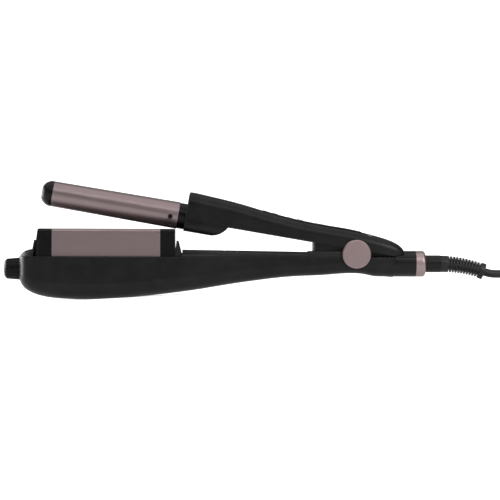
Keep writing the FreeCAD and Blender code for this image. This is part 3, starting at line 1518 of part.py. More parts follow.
def make_barrel():
    level = move(z=dim.barrel_level)
    inner_tip = dim.barrel_tip_radius - dim.barrel_wall
    tube = turned("barrel", [
        (dim.barrel_place, inner_tip),
        (barrel_end, dim.barrel_root_radius - dim.barrel_wall),
        (barrel_end, dim.barrel_root_radius),
        (dim.barrel_place, dim.barrel_tip_radius),
    ])
    screw_place = barrel_end - dim.barrel_screw_setback
    hole = new_sketch(tube, "XZ_Plane", dim.barrel_root_radius)
    add_circle(hole, screw_place, -dim.barrel_screw_drop, dim.barrel_screw_radius)
    pocket(tube, hole, dim.barrel_root_radius)
    keep_upper(tube, level)
    tip_end = dim.barrel_place - dim.barrel_tip_length
    plug_radius = inner_tip
    shoulder = dim.barrel_tip_radius * TIP_SHOULDER_SHARE
    tip = new_body("barrel_tip")
    sketch = new_sketch(tip, "XZ_Plane")
    add_outline(sketch, [
        (tip_end, 0.0),
        (dim.barrel_place + dim.barrel_plug_length, 0.0),
        (dim.barrel_place + dim.barrel_plug_length, plug_radius),
        (dim.barrel_place, plug_radius),
        (dim.barrel_place, dim.barrel_tip_radius),
        (dim.barrel_place - dim.barrel_tip_length * TIP_BAND_SHARE, dim.barrel_tip_radius,
         dim.barrel_tip_length),
        (tip_end, shoulder),
    ])
    revolve(tip, sketch)
    keep_upper(tip, level)
    collar_end = upper_place + dim.upper_wall + dim.collar_socket
    collar = turned("barrel_collar", [
        (barrel_end, dim.wire_bore),
        (collar_end, dim.wire_bore),
        (collar_end, dim.collar_radius),
        (barrel_end, dim.collar_radius),
    ])
    keep_upper(collar, level)
    heater = new_body("barrel_heater")
    bar = new_sketch(heater, "YZ_Plane", dim.barrel_place + dim.barrel_plug_length)
    half_width = dim.barrel_heater_width / 2
    half_height = dim.barrel_heater_height / 2
    add_outline(bar, box_points(-half_width, half_width, -half_height, half_height))
    pad(heater, bar, dim.barrel_length - dim.barrel_plug_length)
    keep_upper(heater, level)
    screw = cylinder_of("barrel_screw", dim.barrel_screw_radius, dim.barrel_screw_length)
    at = move(screw_place, dim.slide_gap - dim.barrel_root_radius, -dim.barrel_screw_drop)
    keep_upper(screw, level * at * turn_about((1, 0, 0), -RIGHT_ANGLE))


def panel_top(along):
    """Height of the panel's face over the baseline of its own frame."""
    place = panel_place + along * math.cos(panel_slope)
    rise = upper_top(place) - panel_level + along * math.sin(panel_slope)
    return rise * math.cos(panel_slope) + dim.panel_edge


def make_panel():
    body = new_body("control_panel")
    sections = []
    for place in panel_stations():
        level = upper_top(place)
        sections.append(u_section(body, place, dim.panel_half_width, level - dim.panel_seat,
                                  level + dim.panel_edge, dim.panel_round))
    loft(body, sections)
    cut_panel_holes(body, PANEL)
    cut_window(body)
    keep_upper(body)
    lens = new_body("display_lens")
    start = panel_place + dim.panel_length * LENS_SHARE
    panes = []
    for place in (start, start + dim.lens_length):
        level = upper_top(place)
        pane = new_sketch(lens, "YZ_Plane", place)
        add_outline(pane, box_points(-dim.lens_half_width, dim.lens_half_width, level - dim.panel_seat,
                                     level + dim.panel_edge + dim.lens_proud))
        panes.append(pane)
    loft(lens, panes)
    keep_upper(lens)


def make_buttons():
    board_top = dim.board_thickness - dim.board_drop
    stem_low = board_top + dim.switch_height + dim.button_travel + dim.slide_gap
    switches = []
    for label, share in BUTTON_SHARES.items():
        along = dim.panel_length * share
        top = panel_top(along) + dim.button_proud
        body = new_body(label)
        sketch = new_sketch(body, "XZ_Plane")
        add_outline(sketch, [
            (0.0, stem_low),
            (dim.button_stem_radius, stem_low),
            (dim.button_stem_radius, top - dim.button_head),
            (dim.button_radius, top - dim.button_head),
            (dim.button_radius, top - dim.button_bevel),
            (dim.button_radius - dim.button_bevel, top),
            (0.0, top),
        ])
        revolve(body, sketch, "V_Axis")
        keep_upper(body, PANEL * move(along))
        side = float(dim.switch_side)
        switches.append(Part.makeBox(side, side, float(dim.switch_height),
                                     FreeCAD.Vector(float(along) - side / 2, -side / 2, float(board_top))))
    keep_upper(feature_of("tact_switches", Part.makeCompound(switches)), PANEL)
    board = new_body("control_board")
    sketch = new_sketch(board, "XY_Plane", -dim.board_drop)
    add_outline(sketch, box_points(0.0, dim.board_length, -dim.board_half_width, dim.board_half_width))
    pad(board, sketch, dim.board_thickness)
    keep_upper(board, PANEL)


# Cord, which lies on the floor that the iron rests on

coil_level = float(dim.cord_radius + dim.coil_lift)
COIL_RUN = FreeCAD.Vector(float(dim.coil_run), 0, 0)
COIL_STUB = FreeCAD.Vector(2 * float(dim.cord_radius), 0, 0)
COIL_START = FreeCAD.Vector(float(dim.coil_place), float(dim.coil_side), coil_level) + COIL_RUN
COIL_END = COIL_START + FreeCAD.Vector(0, 0, float(dim.coil_pitch) * (2 * COIL_PASSES - 1))
# Free stretches of the cord between their fixed ends, chosen by hand
LEAD_FIRST_RUN = 5.4
LEAD_ROUTE = [(336.0, 0.9, 3.6), (349.0, 4.6, 3.5), (363.0, 13.2, 3.5), (377.0, 20.0, 3.7),
              (394.0, 22.9, 4.2), (414.0, 22.9, 4.7)]
LEAD_LAST_RUN = 20.0
TAIL_FIRST_RUN = 12.0
TAIL_ROUTE = [(496.0, 20.6, 23.2), (512.0, 16.2, 14.4), (528.0, 10.6, 8.4)]
TAIL_LAST_RUN = 9.0
PLUG_ENTRY = (549.0, 8.0, 7.0)


def cord_points():
    """The free stretch from the guard to the coil, along the floor."""
    start = REST.multVec(guard_point(1))
    heading = REST.Rotation.multVec(guard_direction(1))
    end = COIL_START - COIL_STUB
    points = [start, start + heading * LEAD_FIRST_RUN]
    points += [FreeCAD.Vector(*point) for point in LEAD_ROUTE]
    return points + [end - FreeCAD.Vector(LEAD_LAST_RUN, 0, 0), end]


def tail_points():
    """The short stretch from the coil's top layer down to the plug."""
    start = COIL_END + COIL_STUB
    end = FreeCAD.Vector(*PLUG_ENTRY)
    points = [start, start + FreeCAD.Vector(TAIL_FIRST_RUN, 0, 0)]
    points += [FreeCAD.Vector(*point) for point in TAIL_ROUTE]
    return points + [end - FreeCAD.Vector(TAIL_LAST_RUN, 0, 0), end]


def rounded_route(label, points):
    """Straight runs joined by tangent arcs, each as large as its two runs allow."""
    edges = []
    radii = []
    at = points[0]
    for before, corner, after in zip(points, points[1:], points[2:]):
        back = (before - corner).normalize()
        on = (after - corner).normalize()
        half = (math.pi - back.getAngle(on)) / 2
        reach = ARC_REACH_SHARE * min((before - corner).Length, (after - corner).Length)
        radius = reach / math.tan(half)
        radii.append(radius)
        enter = corner + back * reach
        leave = corner + on * reach
        inward = (back + on).normalize()
        middle = corner + inward * (radius / math.cos(half) - radius)
        edges.append(Part.LineSegment(at, enter).toShape())
        edges.append(Part.Arc(enter, middle, leave).toShape())
        at = leave
    edges.append(Part.LineSegment(at, points[-1]).toShape())
    print("%s: radii %s" % (label, ", ".join("%.0f" % radius for radius in radii)))
    return edges


def make_cord():
    for label, points in (("cord", cord_points()), ("cord_tail", tail_points())):
        edges = rounded_route(label, points)
        tube = swept(edges, dim.cord_radius)
        report_tube(label, tube, edges, dim.cord_radius)
        keep_on_floor(feature_of(label, tube))


def climbing_run(start, end):
    """Two arcs that lift a run by a layer and leave it level at both ends."""
    middle = (start + end) / 2
    half = middle - start
    level = FreeCAD.Vector(half.x, half.y, 0).normalize()
    slope = math.atan2(half.z, math.hypot(half.x, half.y))
    radius = half.Length / (2 * math.sin(slope))
    knee = level * (radius * math.sin(slope)) + FreeCAD.Vector(0, 0, radius * (1 - math.cos(slope)))
    return [Part.Arc(start, start + knee, middle).toShape(), Part.Arc(middle, end - knee, end).toShape()]


def make_cord_coil():
    """Oval turns that spiral in and out again, and climb a layer wherever the spiral reverses."""
    pitch = float(dim.coil_pitch)
    steps = COIL_STEPS_IN * COIL_PASSES
    at = COIL_START
    edges = [Part.LineSegment(at - COIL_STUB, at).toShape()]
    side = 1
    for index, inwards in enumerate(steps, start=1):
        radius = float(dim.coil_radius) - inwards * pitch / 2
        rise = pitch if inwards == max(COIL_STEPS_IN) else 0
        turned_at = at + FreeCAD.Vector(0, -2 * radius * side, rise)
        edges.append(half_turn(at, turned_at, FreeCAD.Vector(side, 0, 0)))
        side = -side
        at = turned_at + COIL_RUN * side
        if index % len(COIL_STEPS_IN) == 0 and index < len(steps):
            at = at + FreeCAD.Vector(0, 0, pitch)
            edges += climbing_run(turned_at, at)
        else:
            edges.append(Part.LineSegment(turned_at, at).toShape())
    edges.append(Part.LineSegment(at, at + COIL_STUB).toShape())
    coil = swept(edges, dim.cord_radius)
    report_tube("cord_coil", coil, edges, dim.cord_radius)
    report_self_gap("cord_coil", edges, dim.cord_radius)
    keep_on_floor(feature_of("cord_coil", coil))


def make_coil_tie():
    """A strap round the cords of the coil's near side, half way along their runs."""
    reach = float(dim.cord_radius + dim.slide_gap)
    depth = float(dim.coil_pitch) * max(COIL_STEPS_IN) / 2 + 2 * reach
    height = COIL_END.z - COIL_START.z + 2 * reach
    wall = float(dim.tie_thickness)
    width = float(dim.tie_width)
    inner_corner = COIL_START - COIL_RUN / 2 - FreeCAD.Vector(0, 2 * float(dim.coil_radius) + reach, reach)
    outer = Part.makeBox(width, depth + 2 * wall, height + 2 * wall,
                         inner_corner - FreeCAD.Vector(width / 2, wall, wall))
    round_edges = [edge for edge in outer.Edges if abs(edge.tangentAt(edge.FirstParameter).x) > 0.5]
    outer = outer.makeFillet(2 * wall, round_edges)
    inside = Part.makeBox(2 * width, depth, height, inner_corner - FreeCAD.Vector(width, 0, 0))
    keep_on_floor(feature_of("coil_tie", outer.cut(inside)))


def make_plug():
    """A flat two-pin plug: a waisted body, a sleeve for the cord and two round pins."""
    place = move(*PLUG_ENTRY) * turn_about((0, 0, 1), FULL_TURN / 2)
    body = new_body("plug")
    neck = dim.plug_neck_half_width
    wide = dim.plug_half_width
    length = dim.plug_length
    sketch = new_sketch(body, "XY_Plane")
    sleeve = dim.plug_sleeve_length
    add_outline(sketch, [
        (-sleeve, -neck),
        (-sleeve, neck),
        (-(sleeve + length * PLUG_SHOULDER_SHARE), wide),
        (-(sleeve + length * PLUG_CHEEK_SHARE), wide),
        (-(sleeve + length), wide * PLUG_FACE_SHARE),
        (-(sleeve + length), -wide * PLUG_FACE_SHARE),
        (-(sleeve + length * PLUG_CHEEK_SHARE), -wide),
        (-(sleeve + length * PLUG_SHOULDER_SHARE), -wide),
    ])
    pad(body, sketch, dim.plug_thickness, symmetric=True)
    tube = new_sketch(body, "YZ_Plane", -sleeve)
    add_circle(tube, 0.0, 0.0, dim.plug_sleeve_radius)
    pad(body, tube, sleeve)
    body.Placement = place
    keep_on_floor(body)
    pins = []
    for side in (-1, 1):
        base = FreeCAD.Vector(-float(sleeve + length), side * float(dim.plug_pin_spacing) / 2, 0)
        pins.append(Part.makeCylinder(float(dim.plug_pin_radius), float(dim.plug_pin_length), base,
                                      FreeCAD.Vector(-1, 0, 0)))
    group = feature_of("plug_pins", Part.makeCompound(pins))
    group.Placement = place
    keep_on_floor(group)


def check_document():
    for obj in doc.Objects:
        if "Invalid" in obj.State or "Error" in obj.State:
            raise RuntimeError("failed object: %s in %s" % (obj.Label, obj.getParentGeoFeatureGroup()))
    for obj in parts:
        if obj.Shape.isNull() or not obj.Shape.isValid():
            raise RuntimeError("bad shape: %s" % obj.Label)
        if obj.TypeId == "PartDesign::Body" and len(obj.Shape.Solids) != 1:
            raise RuntimeError("%s is in %d pieces" % (obj.Label, len(obj.Shape.Solids)))


def main():
    make_lower_shell()
    make_nose_deck()
    make_rear_deck()
    make_rear_cap()
    make_rear_collar()
    make_swivel()
    make_cord_guard()
    make_hinge()
    make_torsion_spring()
    make_dial()
    make_screw()
    make_slider()
    make_rails()
    make_wings()
    make_cradle()
    make_upper_shell()
    make_belly()
    make_barrel()
    make_panel()
    make_buttons()
    make_cord()
    make_cord_coil()
    make_coil_tie()
    make_plug()
    doc.recompute()
    check_document()
    os.makedirs("parts", exist_ok=True)
    for obj in parts:
        obj.Shape.exportStep("parts/%s.step" % obj.Label)
    print("%d sub-parts, rest tilt %.3f degrees" % (len(parts), rest_tilt))


main()
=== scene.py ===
import json
import math

import bmesh
import bpy
from mathutils import Matrix, Vector


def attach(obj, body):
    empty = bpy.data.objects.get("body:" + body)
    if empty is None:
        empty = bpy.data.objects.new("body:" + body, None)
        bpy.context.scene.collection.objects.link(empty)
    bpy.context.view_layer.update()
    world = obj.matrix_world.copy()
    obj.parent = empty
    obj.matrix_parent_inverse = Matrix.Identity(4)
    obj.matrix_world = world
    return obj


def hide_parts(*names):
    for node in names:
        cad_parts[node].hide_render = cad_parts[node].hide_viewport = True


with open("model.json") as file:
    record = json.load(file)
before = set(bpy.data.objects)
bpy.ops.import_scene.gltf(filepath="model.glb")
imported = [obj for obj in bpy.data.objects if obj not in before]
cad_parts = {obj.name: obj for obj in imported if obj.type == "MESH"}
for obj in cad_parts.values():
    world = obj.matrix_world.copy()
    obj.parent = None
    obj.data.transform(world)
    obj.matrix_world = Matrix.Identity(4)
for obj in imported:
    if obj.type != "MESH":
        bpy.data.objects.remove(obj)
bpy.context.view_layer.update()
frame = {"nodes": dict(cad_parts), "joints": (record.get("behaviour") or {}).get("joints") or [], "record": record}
nodes = frame["nodes"]
scene = bpy.context.scene

# Lengths are in metres. The iron lies on its rest facet: the dial's axis gives the way along its rim.
MM = 0.001
joints = {joint["name"]: joint for joint in frame["joints"]}
ALONG = Vector(joints["dial_turn"]["axis"]).normalized()
UP = Vector((-ALONG.z, 0.0, ALONG.x))

# Camera, from the scale and the horizon of the photograph
CAMERA_PLACE = Vector((0.08, -1.6, 0.0353))
CAMERA_YAW = math.radians(1.539)
CAMERA_PITCH = math.radians(0.064)
CAMERA_ROLL = math.radians(0.181)
LENS = 135.26
SENSOR = 36.0

# Height of the lower shell's rim over the rest facet, square to the rim
RIM_HEIGHT = 35.4 * MM
RIM_ROUGHNESS = 0.16
# Heights over or under the rim between which the polish fades in, and out again
RIM_FADE_IN = (-1.3 * MM, -0.6 * MM)
RIM_FADE_OUT = (0.2 * MM, 0.5 * MM)

# Place, size and tilt of each strip of the seal, in millimetres and degrees
SEAL_STRIPS = (
    ((244.1, 0.0, 22.2), (4.4, 12.0, 3.4), 3.0),
    ((249.8, 0.0, 23.22), (7.8, 10.0, 1.4), -7.2),
    ((247.4, 0.0, 23.5), (3.0, 8.0, 1.8), -7.2))
SEAL_ROUND = 0.3 * MM
SEAL_ROUND_STEPS = 3

# Cord: the knots of its free stretches repeat those of the part, in millimetres
CORD_DIAMETER = 6.8 * MM
CORD_RESOLUTION = 6
CORD_EXIT = Vector((321.52, 0.0, 6.35)) * MM
CORD_HEADING = Vector((0.9202, 0.0, -0.3915)).normalized()
CORD_STUB = 5.4
LEAD_KNOTS = (
    (336.0, 0.9, 3.6), (349.0, 4.6, 3.5), (363.0, 13.2, 3.5), (377.0, 20.0, 3.7), (394.0, 22.9, 4.2),
    (414.0, 22.9, 4.7), (435.2, 22.0, 5.0), (455.2, 22.0, 5.0))
TAIL_KNOTS = (
    (468.8, 22.0, 27.2), (480.8, 22.0, 27.2), (496.0, 20.6, 23.2), (512.0, 16.2, 14.4), (528.0, 10.6, 8.4),
    (540.0, 8.0, 7.0), (549.0, 8.0, 7.0))
COIL_PLACE = Vector((392.0, 22.0, 5.0)) * MM
COIL_RUN = Vector((70.0, 0.0, 0.0)) * MM
COIL_RADIUS = 28.6 * MM
COIL_PITCH = 7.4 * MM
COIL_STEPS_IN = (0, 1, 2, 1, 0)
COIL_PASSES = 2
COIL_STEPS = 12
# Shares of a coil's run, and of its climb, at the knots near its ends
RUN_SHARES = ((0.12, 0.0), (0.88, 1.0))

# Floor and backdrop, in metres
FLOOR_FRONT, FLOOR_TURN, TURN_RADIUS, BACKDROP_TOP, FLOOR_HALF_WIDTH = -3.4, 3.2, 0.6, 2.4, 4.0
TURN_STEPS = 16
FLOOR_TONES = ((0.55, 0.55, 0.55, 1.0), (0.57, 0.57, 0.57, 1.0))
FLOOR_ROUGHNESS = 0.7
# Two stretches of the floor's depth, each with the glow at its near and far end
GLOW_RANGES = ((-1.3, -0.2, 0.78, 0.7), (0.3, 1.6, 0.0, 0.5))

# Light: name, place, target, width, depth and power in watts
WORLD_TONE = (0.03, 0.03, 0.03, 1.0)
LIGHTS = (
    ("overhead", (0.1, 0.0, 1.25), (0.1, 0.0, 0.0), 2.4, 1.3, 16.0),
    ("nose_card", (-1.0, 0.4, 0.25), (-0.07, 0.0, 0.03), 0.8, 0.6, 18.0),
    ("left_front", (-0.45, -0.4, 0.2), (-0.02, 0.0, 0.04), 0.3, 0.3, 0.4),
    ("tail_fill", (0.75, -0.6, 0.4), (0.2, 0.0, 0.03), 0.4, 0.4, 6.0),
    ("shoulder", (0.1, -0.9, 0.95), (0.1, 0.0, 0.05), 1.4, 0.22, 6.0))

# Tones
CHARCOAL = (0.0060, 0.0060, 0.0062, 1.0)
CHARCOAL_LIGHT = (0.0085, 0.0085, 0.0087, 1.0)
BLACK = (0.0022, 0.0022, 0.0023, 1.0)
BLACK_LIGHT = (0.0034, 0.0034, 0.0035, 1.0)
RUBBER = (0.005, 0.005, 0.0051, 1.0)
RUBBER_LIGHT = (0.008, 0.008, 0.0081, 1.0)
ROSE = (0.210, 0.162, 0.165, 1.0)
ROSE_DEEP = (0.185, 0.142, 0.145, 1.0)
TRIM = (0.25, 0.188, 0.188, 1.0)
TRIM_DEEP = (0.22, 0.165, 0.165, 1.0)


# Node helpers

def new_look(name):
    """A material with its node tree, its surface shader and coordinates in the frame's metres."""
    look = bpy.data.materials.new(name)
    look.use_nodes = True
    tree = look.node_tree
    surface = tree.nodes["Principled BSDF"]
    place = tree.nodes.new("ShaderNodeTexCoord").outputs["Object"]
    return look, tree, surface, place


def noise(tree, place, per_metre, detail=3.0, stretch=None):
    if stretch is not None:
        mapping = tree.nodes.new("ShaderNodeMapping")
        mapping.inputs["Scale"].default_value = stretch
        tree.links.new(place, mapping.inputs["Vector"])
        place = mapping.outputs["Vector"]
    grain = tree.nodes.new("ShaderNodeTexNoise")
    grain.inputs["Scale"].default_value = per_metre
    grain.inputs["Detail"].default_value = detail
    tree.links.new(place, grain.inputs["Vector"])
    return grain.outputs["Fac"]


def ramp(tree, value, first, second, low=0.35, high=0.65):
    """A colour that goes from the first to the second as the value rises."""
    node = tree.nodes.new("ShaderNodeValToRGB")
    node.color_ramp.elements[0].position = low
    node.color_ramp.elements[0].color = first
    node.color_ramp.elements[1].position = high
    node.color_ramp.elements[1].color = second
    tree.links.new(value, node.inputs["Fac"])
    return node.outputs["Color"]


def span(tree, value, low, high, start=0.3, end=0.7):
    """A number that goes from low to high as the value rises from start to end."""
    node = tree.nodes.new("ShaderNodeMapRange")
    node.inputs["From Min"].default_value = start
    node.inputs["From Max"].default_value = end
    node.inputs["To Min"].default_value = low
    node.inputs["To Max"].default_value = high
    tree.links.new(value, node.inputs["Value"])
    return node.outputs["Result"]


def combine(tree, operation, first, second):
    """Two numbers added or multiplied."""
    node = tree.nodes.new("ShaderNodeMath")
    node.operation = operation
    tree.links.new(first, node.inputs[0])
    tree.links.new(second, node.inputs[1])
    return node.outputs["Value"]


def bump(tree, value, depth, strength=1.0, normal=None):
    node = tree.nodes.new("ShaderNodeBump")
    node.inputs["Strength"].default_value = strength
    node.inputs["Distance"].default_value = depth
    tree.links.new(value, node.inputs["Height"])
    if normal is not None:
        tree.links.new(normal, node.inputs["Normal"])
    return node.outputs["Normal"]


def soft_edges(tree, radius):
    """Normals rounded over a small radius, as moulded edges are."""
    node = tree.nodes.new("ShaderNodeBevel")
    node.samples = 4
    node.inputs["Radius"].default_value = radius
    return node.outputs["Normal"]


def moulded(name, dark, light, rough, grain_depth, edge, specular):
    """Moulded plastic: mottled tone, fine spark-eroded grain and slightly uneven gloss."""
    look, tree, surface, place = new_look(name)
    tone = ramp(tree, noise(tree, place, 90.0), dark, light)
    tree.links.new(tone, surface.inputs["Base Color"])
    gloss = span(tree, noise(tree, place, 240.0, 4.0), rough - 0.035, rough + 0.035)
    tree.links.new(gloss, surface.inputs["Roughness"])
    grain = bump(tree, noise(tree, place, 3200.0, 2.0), grain_depth, 0.5, soft_edges(tree, edge))
    tree.links.new(grain, surface.inputs["Normal"])
    surface.inputs["Specular IOR Level"].default_value = specular
    return look


def rim_share(tree, place):
    """A number that rises to one on the rim of the lower shell, where hands and moulds leave it smoother."""
    dot = tree.nodes.new("ShaderNodeVectorMath")
    dot.operation = "DOT_PRODUCT"
    dot.inputs[1].default_value = UP
    tree.links.new(place, dot.inputs[0])
    height = dot.outputs["Value"]
    below = span(tree, height, 0.0, 1.0, RIM_HEIGHT + RIM_FADE_IN[0], RIM_HEIGHT + RIM_FADE_IN[1])
    above = span(tree, height, 1.0, 0.0, RIM_HEIGHT + RIM_FADE_OUT[0], RIM_HEIGHT + RIM_FADE_OUT[1])
    return combine(tree, "MULTIPLY", below, above)


def charcoal_plastic():
    look = moulded("charcoal_plastic", CHARCOAL, CHARCOAL_LIGHT, 0.34, 0.008 * MM, 0.35 * MM, 0.11)
    tree = look.node_tree
    surface = tree.nodes["Principled BSDF"]
    place = tree.nodes["Texture Coordinate"].outputs["Object"]
    gloss = tree.nodes.new("ShaderNodeMix")
    gloss.inputs["B"].default_value = RIM_ROUGHNESS
    tree.links.new(rim_share(tree, place), gloss.inputs["Factor"])
    tree.links.new(surface.inputs["Roughness"].links[0].from_socket, gloss.inputs["A"])
    tree.links.new(gloss.outputs["Result"], surface.inputs["Roughness"])
    return look


def deck_black():
    return moulded("deck_black", BLACK, BLACK_LIGHT, 0.5, 0.004 * MM, 0.35 * MM, 0.25)


def black_plastic():
    return moulded("black_plastic", BLACK, BLACK_LIGHT, 0.33, 0.008 * MM, 0.3 * MM, 0.12)


def gloss_black():
    look = moulded("gloss_black", BLACK, BLACK_LIGHT, 0.16, 0.002 * MM, 0.2 * MM, 0.3)
    surface = look.node_tree.nodes["Principled BSDF"]
    surface.inputs["Coat Weight"].default_value = 0.6
    surface.inputs["Coat Roughness"].default_value = 0.05
    return look


def rose_coating():
    """A ceramic coating with fine metal flake, drawn along the plate."""
    look, tree, surface, place = new_look("rose_coating")
    flake = noise(tree, place, 4200.0, 2.0)
    tree.links.new(ramp(tree, flake, ROSE_DEEP, ROSE), surface.inputs["Base Color"])
    drawn = noise(tree, place, 900.0, 3.0, (0.04, 1.0, 1.0))
    tree.links.new(span(tree, drawn, 0.40, 0.46), surface.inputs["Roughness"])
    grain = bump(tree, drawn, 0.004 * MM, 0.5, soft_edges(tree, 0.3 * MM))
    tree.links.new(grain, surface.inputs["Normal"])
    surface.inputs["Metallic"].default_value = 0.9
    return look


def rose_trim():
    """Satin lacquered metal."""
    look, tree, surface, place = new_look("rose_trim")
    flake = noise(tree, place, 5200.0, 2.0)
    tree.links.new(ramp(tree, flake, TRIM_DEEP, TRIM), surface.inputs["Base Color"])
    tree.links.new(span(tree, noise(tree, place, 300.0), 0.38, 0.44), surface.inputs["Roughness"])
    grain = bump(tree, flake, 0.002 * MM, 0.4, soft_edges(tree, 0.3 * MM))
    tree.links.new(grain, surface.inputs["Normal"])
    surface.inputs["Metallic"].default_value = 0.85
    return look


def metal(name, dark, light, rough):
    """Machined metal with fine turning marks."""
    look, tree, surface, place = new_look(name)
    marks = noise(tree, place, 1500.0, 3.0, (1.0, 0.08, 1.0))
    tree.links.new(ramp(tree, marks, dark, light), surface.inputs["Base Color"])
    tree.links.new(span(tree, marks, rough - 0.06, rough + 0.06), surface.inputs["Roughness"])
    tree.links.new(bump(tree, marks, 0.004 * MM, 0.5), surface.inputs["Normal"])
    surface.inputs["Metallic"].default_value = 1.0
    return look


def steel():
    return metal("steel", (0.42, 0.43, 0.44, 1.0), (0.56, 0.57, 0.58, 1.0), 0.28)


def brass():
    return metal("brass", (0.62, 0.42, 0.16, 1.0), (0.74, 0.53, 0.22, 1.0), 0.26)


def matt(name, dark, light, rough, grain_depth):
    """A matt moulded or fired material with soft mottling."""
    look, tree, surface, place = new_look(name)
    tone = noise(tree, place, 160.0, 4.0)
    tree.links.new(ramp(tree, tone, dark, light), surface.inputs["Base Color"])
    tree.links.new(span(tree, tone, rough - 0.05, rough + 0.05), surface.inputs["Roughness"])
    tree.links.new(bump(tree, noise(tree, place, 2600.0), grain_depth, 0.5), surface.inputs["Normal"])
    return look


def nylon():
    return matt("nylon", (0.62, 0.60, 0.55, 1.0), (0.72, 0.70, 0.64, 1.0), 0.5, 0.008 * MM)


def ceramic_white():
    return matt("ceramic_white", (0.72, 0.71, 0.68, 1.0), (0.82, 0.81, 0.78, 1.0), 0.55, 0.01 * MM)


def board_green():
    return matt("board_green", (0.010, 0.075, 0.030, 1.0), (0.014, 0.11, 0.042, 1.0), 0.35, 0.006 * MM)


def switch_grey():
    return matt("switch_grey", (0.09, 0.09, 0.095, 1.0), (0.13, 0.13, 0.135, 1.0), 0.45, 0.006 * MM)


def lens():
    """A smoked clear window, faintly uneven."""
    look, tree, surface, place = new_look("lens")
    tone = noise(tree, place, 400.0)
    window = ramp(tree, tone, (0.16, 0.16, 0.165, 1.0), (0.22, 0.22, 0.225, 1.0))
    tree.links.new(window, surface.inputs["Base Color"])
    tree.links.new(span(tree, tone, 0.10, 0.15), surface.inputs["Roughness"])
    surface.inputs["Coat Weight"].default_value = 0.5
    surface.inputs["Coat Roughness"].default_value = 0.04
    return look


def frosted_lens():
    """The grey, matt cover of the small light."""
    return matt("frosted_lens", (0.11, 0.11, 0.112, 1.0), (0.14, 0.14, 0.142, 1.0), 0.5, 0.004 * MM)


def cord_rubber():
    return moulded("cord_rubber", RUBBER, RUBBER_LIGHT, 0.45, 0.015 * MM, 0.2 * MM, 0.2)


LOOKS = {make.__name__: make() for make in (
    charcoal_plastic, deck_black, black_plastic, gloss_black, rose_coating, rose_trim, steel, brass, nylon,
    ceramic_white, board_green, switch_grey, lens, frosted_lens, cord_rubber)}
OWN_LOOKS = {"indicator_lens": "frosted_lens"}


def dress_nodes():
    """Each node takes the finish of its slot in the record, or one of its own."""
    for entry in frame["record"]["subparts"]:
        mesh = nodes[entry["node"]].data
        mesh.materials.clear()
        mesh.materials.append(LOOKS[OWN_LOOKS.get(entry["node"], entry["material_slot"])])


# Seal under the tail of the upper arm

def make_tail_seal():
    """Rounded strips that close the slot between the deck's rib, the rear cap and the tail above it."""
    shape = bmesh.new()
    for place, size, tilt in SEAL_STRIPS:
        corners = bmesh.ops.create_cube(shape, size=1.0)["verts"]
        bmesh.ops.scale(shape, vec=Vector(size) * MM, verts=corners)
        bmesh.ops.rotate(shape, matrix=Matrix.Rotation(math.radians(tilt), 3, "Y"), verts=corners)
        bmesh.ops.translate(shape, vec=Vector(place) * MM, verts=corners)
    bmesh.ops.bevel(
        shape, geom=shape.edges[:], offset=SEAL_ROUND, segments=SEAL_ROUND_STEPS, profile=0.5, affect="EDGES")
    mesh = bpy.data.meshes.new("tail_seal")
    shape.to_mesh(mesh)
    shape.free()
    mesh.materials.append(LOOKS["black_plastic"])
    seal = bpy.data.objects.new("tail_seal", mesh)
    scene.collection.objects.link(seal)
    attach(seal, "lower_arm")


# Cord

def lead_points():
    """The free stretch from the guard to the coil, as it is laid in the part."""
    stub = [CORD_EXIT, CORD_EXIT + CORD_HEADING * CORD_STUB * MM]
    return stub + [Vector(knot) * MM for knot in LEAD_KNOTS]


def coil_points():
    """Oval turns that spiral in and out again, and climb a layer wherever the spiral reverses."""
    points = []
    at = COIL_PLACE + COIL_RUN
    side = 1
    swell = 1 / math.cos(math.pi / (2 * COIL_STEPS))
    for index, inwards in enumerate(COIL_STEPS_IN * COIL_PASSES, start=1):
        radius = COIL_RADIUS - inwards * COIL_PITCH / 2
        centre = at - Vector((0.0, radius * side, 0.0))
        rise = COIL_PITCH if inwards == max(COIL_STEPS_IN) else 0.0
        for step in range(COIL_STEPS):
            share = (step + 0.5) / COIL_STEPS
            angle = math.pi * share
            offset = Vector((math.sin(angle), math.cos(angle), 0.0)) * radius * side * swell
            points.append(centre + offset + Vector((0.0, 0.0, rise * share)))
        at = centre - Vector((0.0, radius * side, -rise))
        side = -side
        climb = COIL_PITCH if index == len(COIL_STEPS_IN) else 0.0
        for share, climbed in RUN_SHARES:
            points.append(at + COIL_RUN * side * share + Vector((0.0, 0.0, climb * climbed)))
        at = at + COIL_RUN * side + Vector((0.0, 0.0, climb))
    return points


def tail_points():
    """The free stretch from the coil to the plug."""
    return [Vector(knot) * MM for knot in TAIL_KNOTS]


def make_cord():
    points = lead_points() + coil_points() + tail_points()
    curve = bpy.data.curves.new("mains_cord", "CURVE")
    curve.dimensions = "3D"
    spline = curve.splines.new("NURBS")
    spline.points.add(len(points) - 1)
    for knot, point in zip(spline.points, points):
        knot.co = (*point, 1.0)
    spline.order_u = 3
    spline.use_endpoint_u = True
    spline.resolution_u = CORD_RESOLUTION
    curve.bevel_depth = CORD_DIAMETER / 2
    curve.bevel_resolution = CORD_RESOLUTION
    curve.use_fill_caps = True
    cord = bpy.data.objects.new("mains_cord", curve)
    scene.collection.objects.link(cord)
    curve.materials.append(LOOKS["cord_rubber"])
    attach(cord, "lower_arm")
    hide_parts("cord", "cord_coil", "cord_tail")


# Stage, light and camera

def floor_glow(tree, place):
    """A glow of the floor that makes up for the light's fall away from the object."""
    split = tree.nodes.new("ShaderNodeSeparateXYZ")
    tree.links.new(place, split.inputs["Vector"])
    front, behind = (
        span(tree, split.outputs["Y"], low, high, near, far) for near, far, low, high in GLOW_RANGES)
    return combine(tree, "ADD", front, behind)


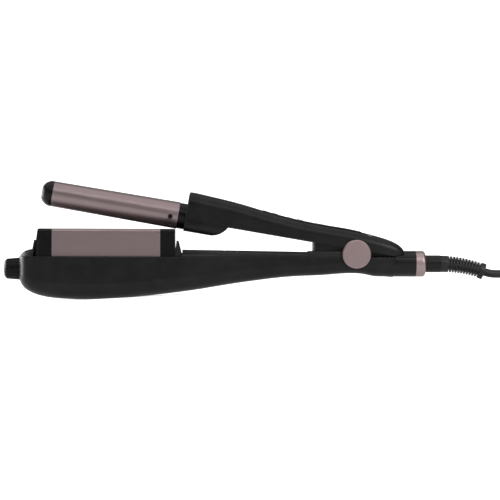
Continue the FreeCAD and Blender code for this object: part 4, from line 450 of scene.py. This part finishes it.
def make_stage():
    """A pale floor that curves up into a backdrop."""
    profile = [(FLOOR_FRONT, 0.0), (FLOOR_TURN, 0.0)]
    for step in range(1, TURN_STEPS + 1):
        angle = math.pi / 2 * step / TURN_STEPS
        profile.append((FLOOR_TURN + TURN_RADIUS * math.sin(angle), TURN_RADIUS - TURN_RADIUS * math.cos(angle)))
    profile.append((FLOOR_TURN + TURN_RADIUS, BACKDROP_TOP))
    mesh = bpy.data.meshes.new("floor")
    verts = [(x, y, z) for y, z in profile for x in (-FLOOR_HALF_WIDTH, FLOOR_HALF_WIDTH)]
    faces = [(2 * i, 2 * i + 1, 2 * i + 3, 2 * i + 2) for i in range(len(profile) - 1)]
    mesh.from_pydata(verts, [], faces)
    for face in mesh.polygons:
        face.use_smooth = True
    floor = bpy.data.objects.new("floor", mesh)
    scene.collection.objects.link(floor)
    look, tree, surface, place = new_look("pale_floor")
    tone = noise(tree, place, 3.0)
    tree.links.new(ramp(tree, tone, *FLOOR_TONES), surface.inputs["Base Color"])
    surface.inputs["Roughness"].default_value = FLOOR_ROUGHNESS
    surface.inputs["Emission Color"].default_value = (1.0, 1.0, 1.0, 1.0)
    tree.links.new(floor_glow(tree, place), surface.inputs["Emission Strength"])
    mesh.materials.append(look)


def area_light(name, place, target, width, depth, power):
    data = bpy.data.lights.new(name, "AREA")
    data.shape = "RECTANGLE"
    data.size = width
    data.size_y = depth
    data.energy = power
    light = bpy.data.objects.new(name, data)
    light.location = place
    light.rotation_mode = "QUATERNION"
    light.rotation_quaternion = (Vector(target) - Vector(place)).to_track_quat("-Z", "Y")
    scene.collection.objects.link(light)


def make_lights():
    world = bpy.data.worlds.new("studio")
    scene.world = world
    world.use_nodes = True
    background = world.node_tree.nodes["Background"]
    background.inputs["Color"].default_value = WORLD_TONE
    background.inputs["Strength"].default_value = 1.0
    for light in LIGHTS:
        area_light(*light)


def make_camera():
    data = bpy.data.cameras.new("camera")
    data.lens = LENS
    data.sensor_width = SENSOR
    camera = bpy.data.objects.new("camera", data)
    across = Vector((0.0, 1.0, 0.0))
    forward = across * math.cos(CAMERA_YAW) + ALONG * math.sin(CAMERA_YAW)
    level = ALONG * math.cos(CAMERA_YAW) - across * math.sin(CAMERA_YAW)
    aim = forward * math.cos(CAMERA_PITCH) + UP * math.sin(CAMERA_PITCH)
    upright = UP * math.cos(CAMERA_PITCH) - forward * math.sin(CAMERA_PITCH)
    right = level * math.cos(CAMERA_ROLL) + upright * math.sin(CAMERA_ROLL)
    top = upright * math.cos(CAMERA_ROLL) - level * math.sin(CAMERA_ROLL)
    turn = Matrix((right, top, -aim)).transposed()
    camera.matrix_world = Matrix.Translation(CAMERA_PLACE) @ turn.to_4x4()
    scene.collection.objects.link(camera)
    scene.camera = camera
    scene.view_settings.view_transform = "Standard"


dress_nodes()
make_tail_seal()
make_cord()
make_stage()
make_lights()
make_camera()
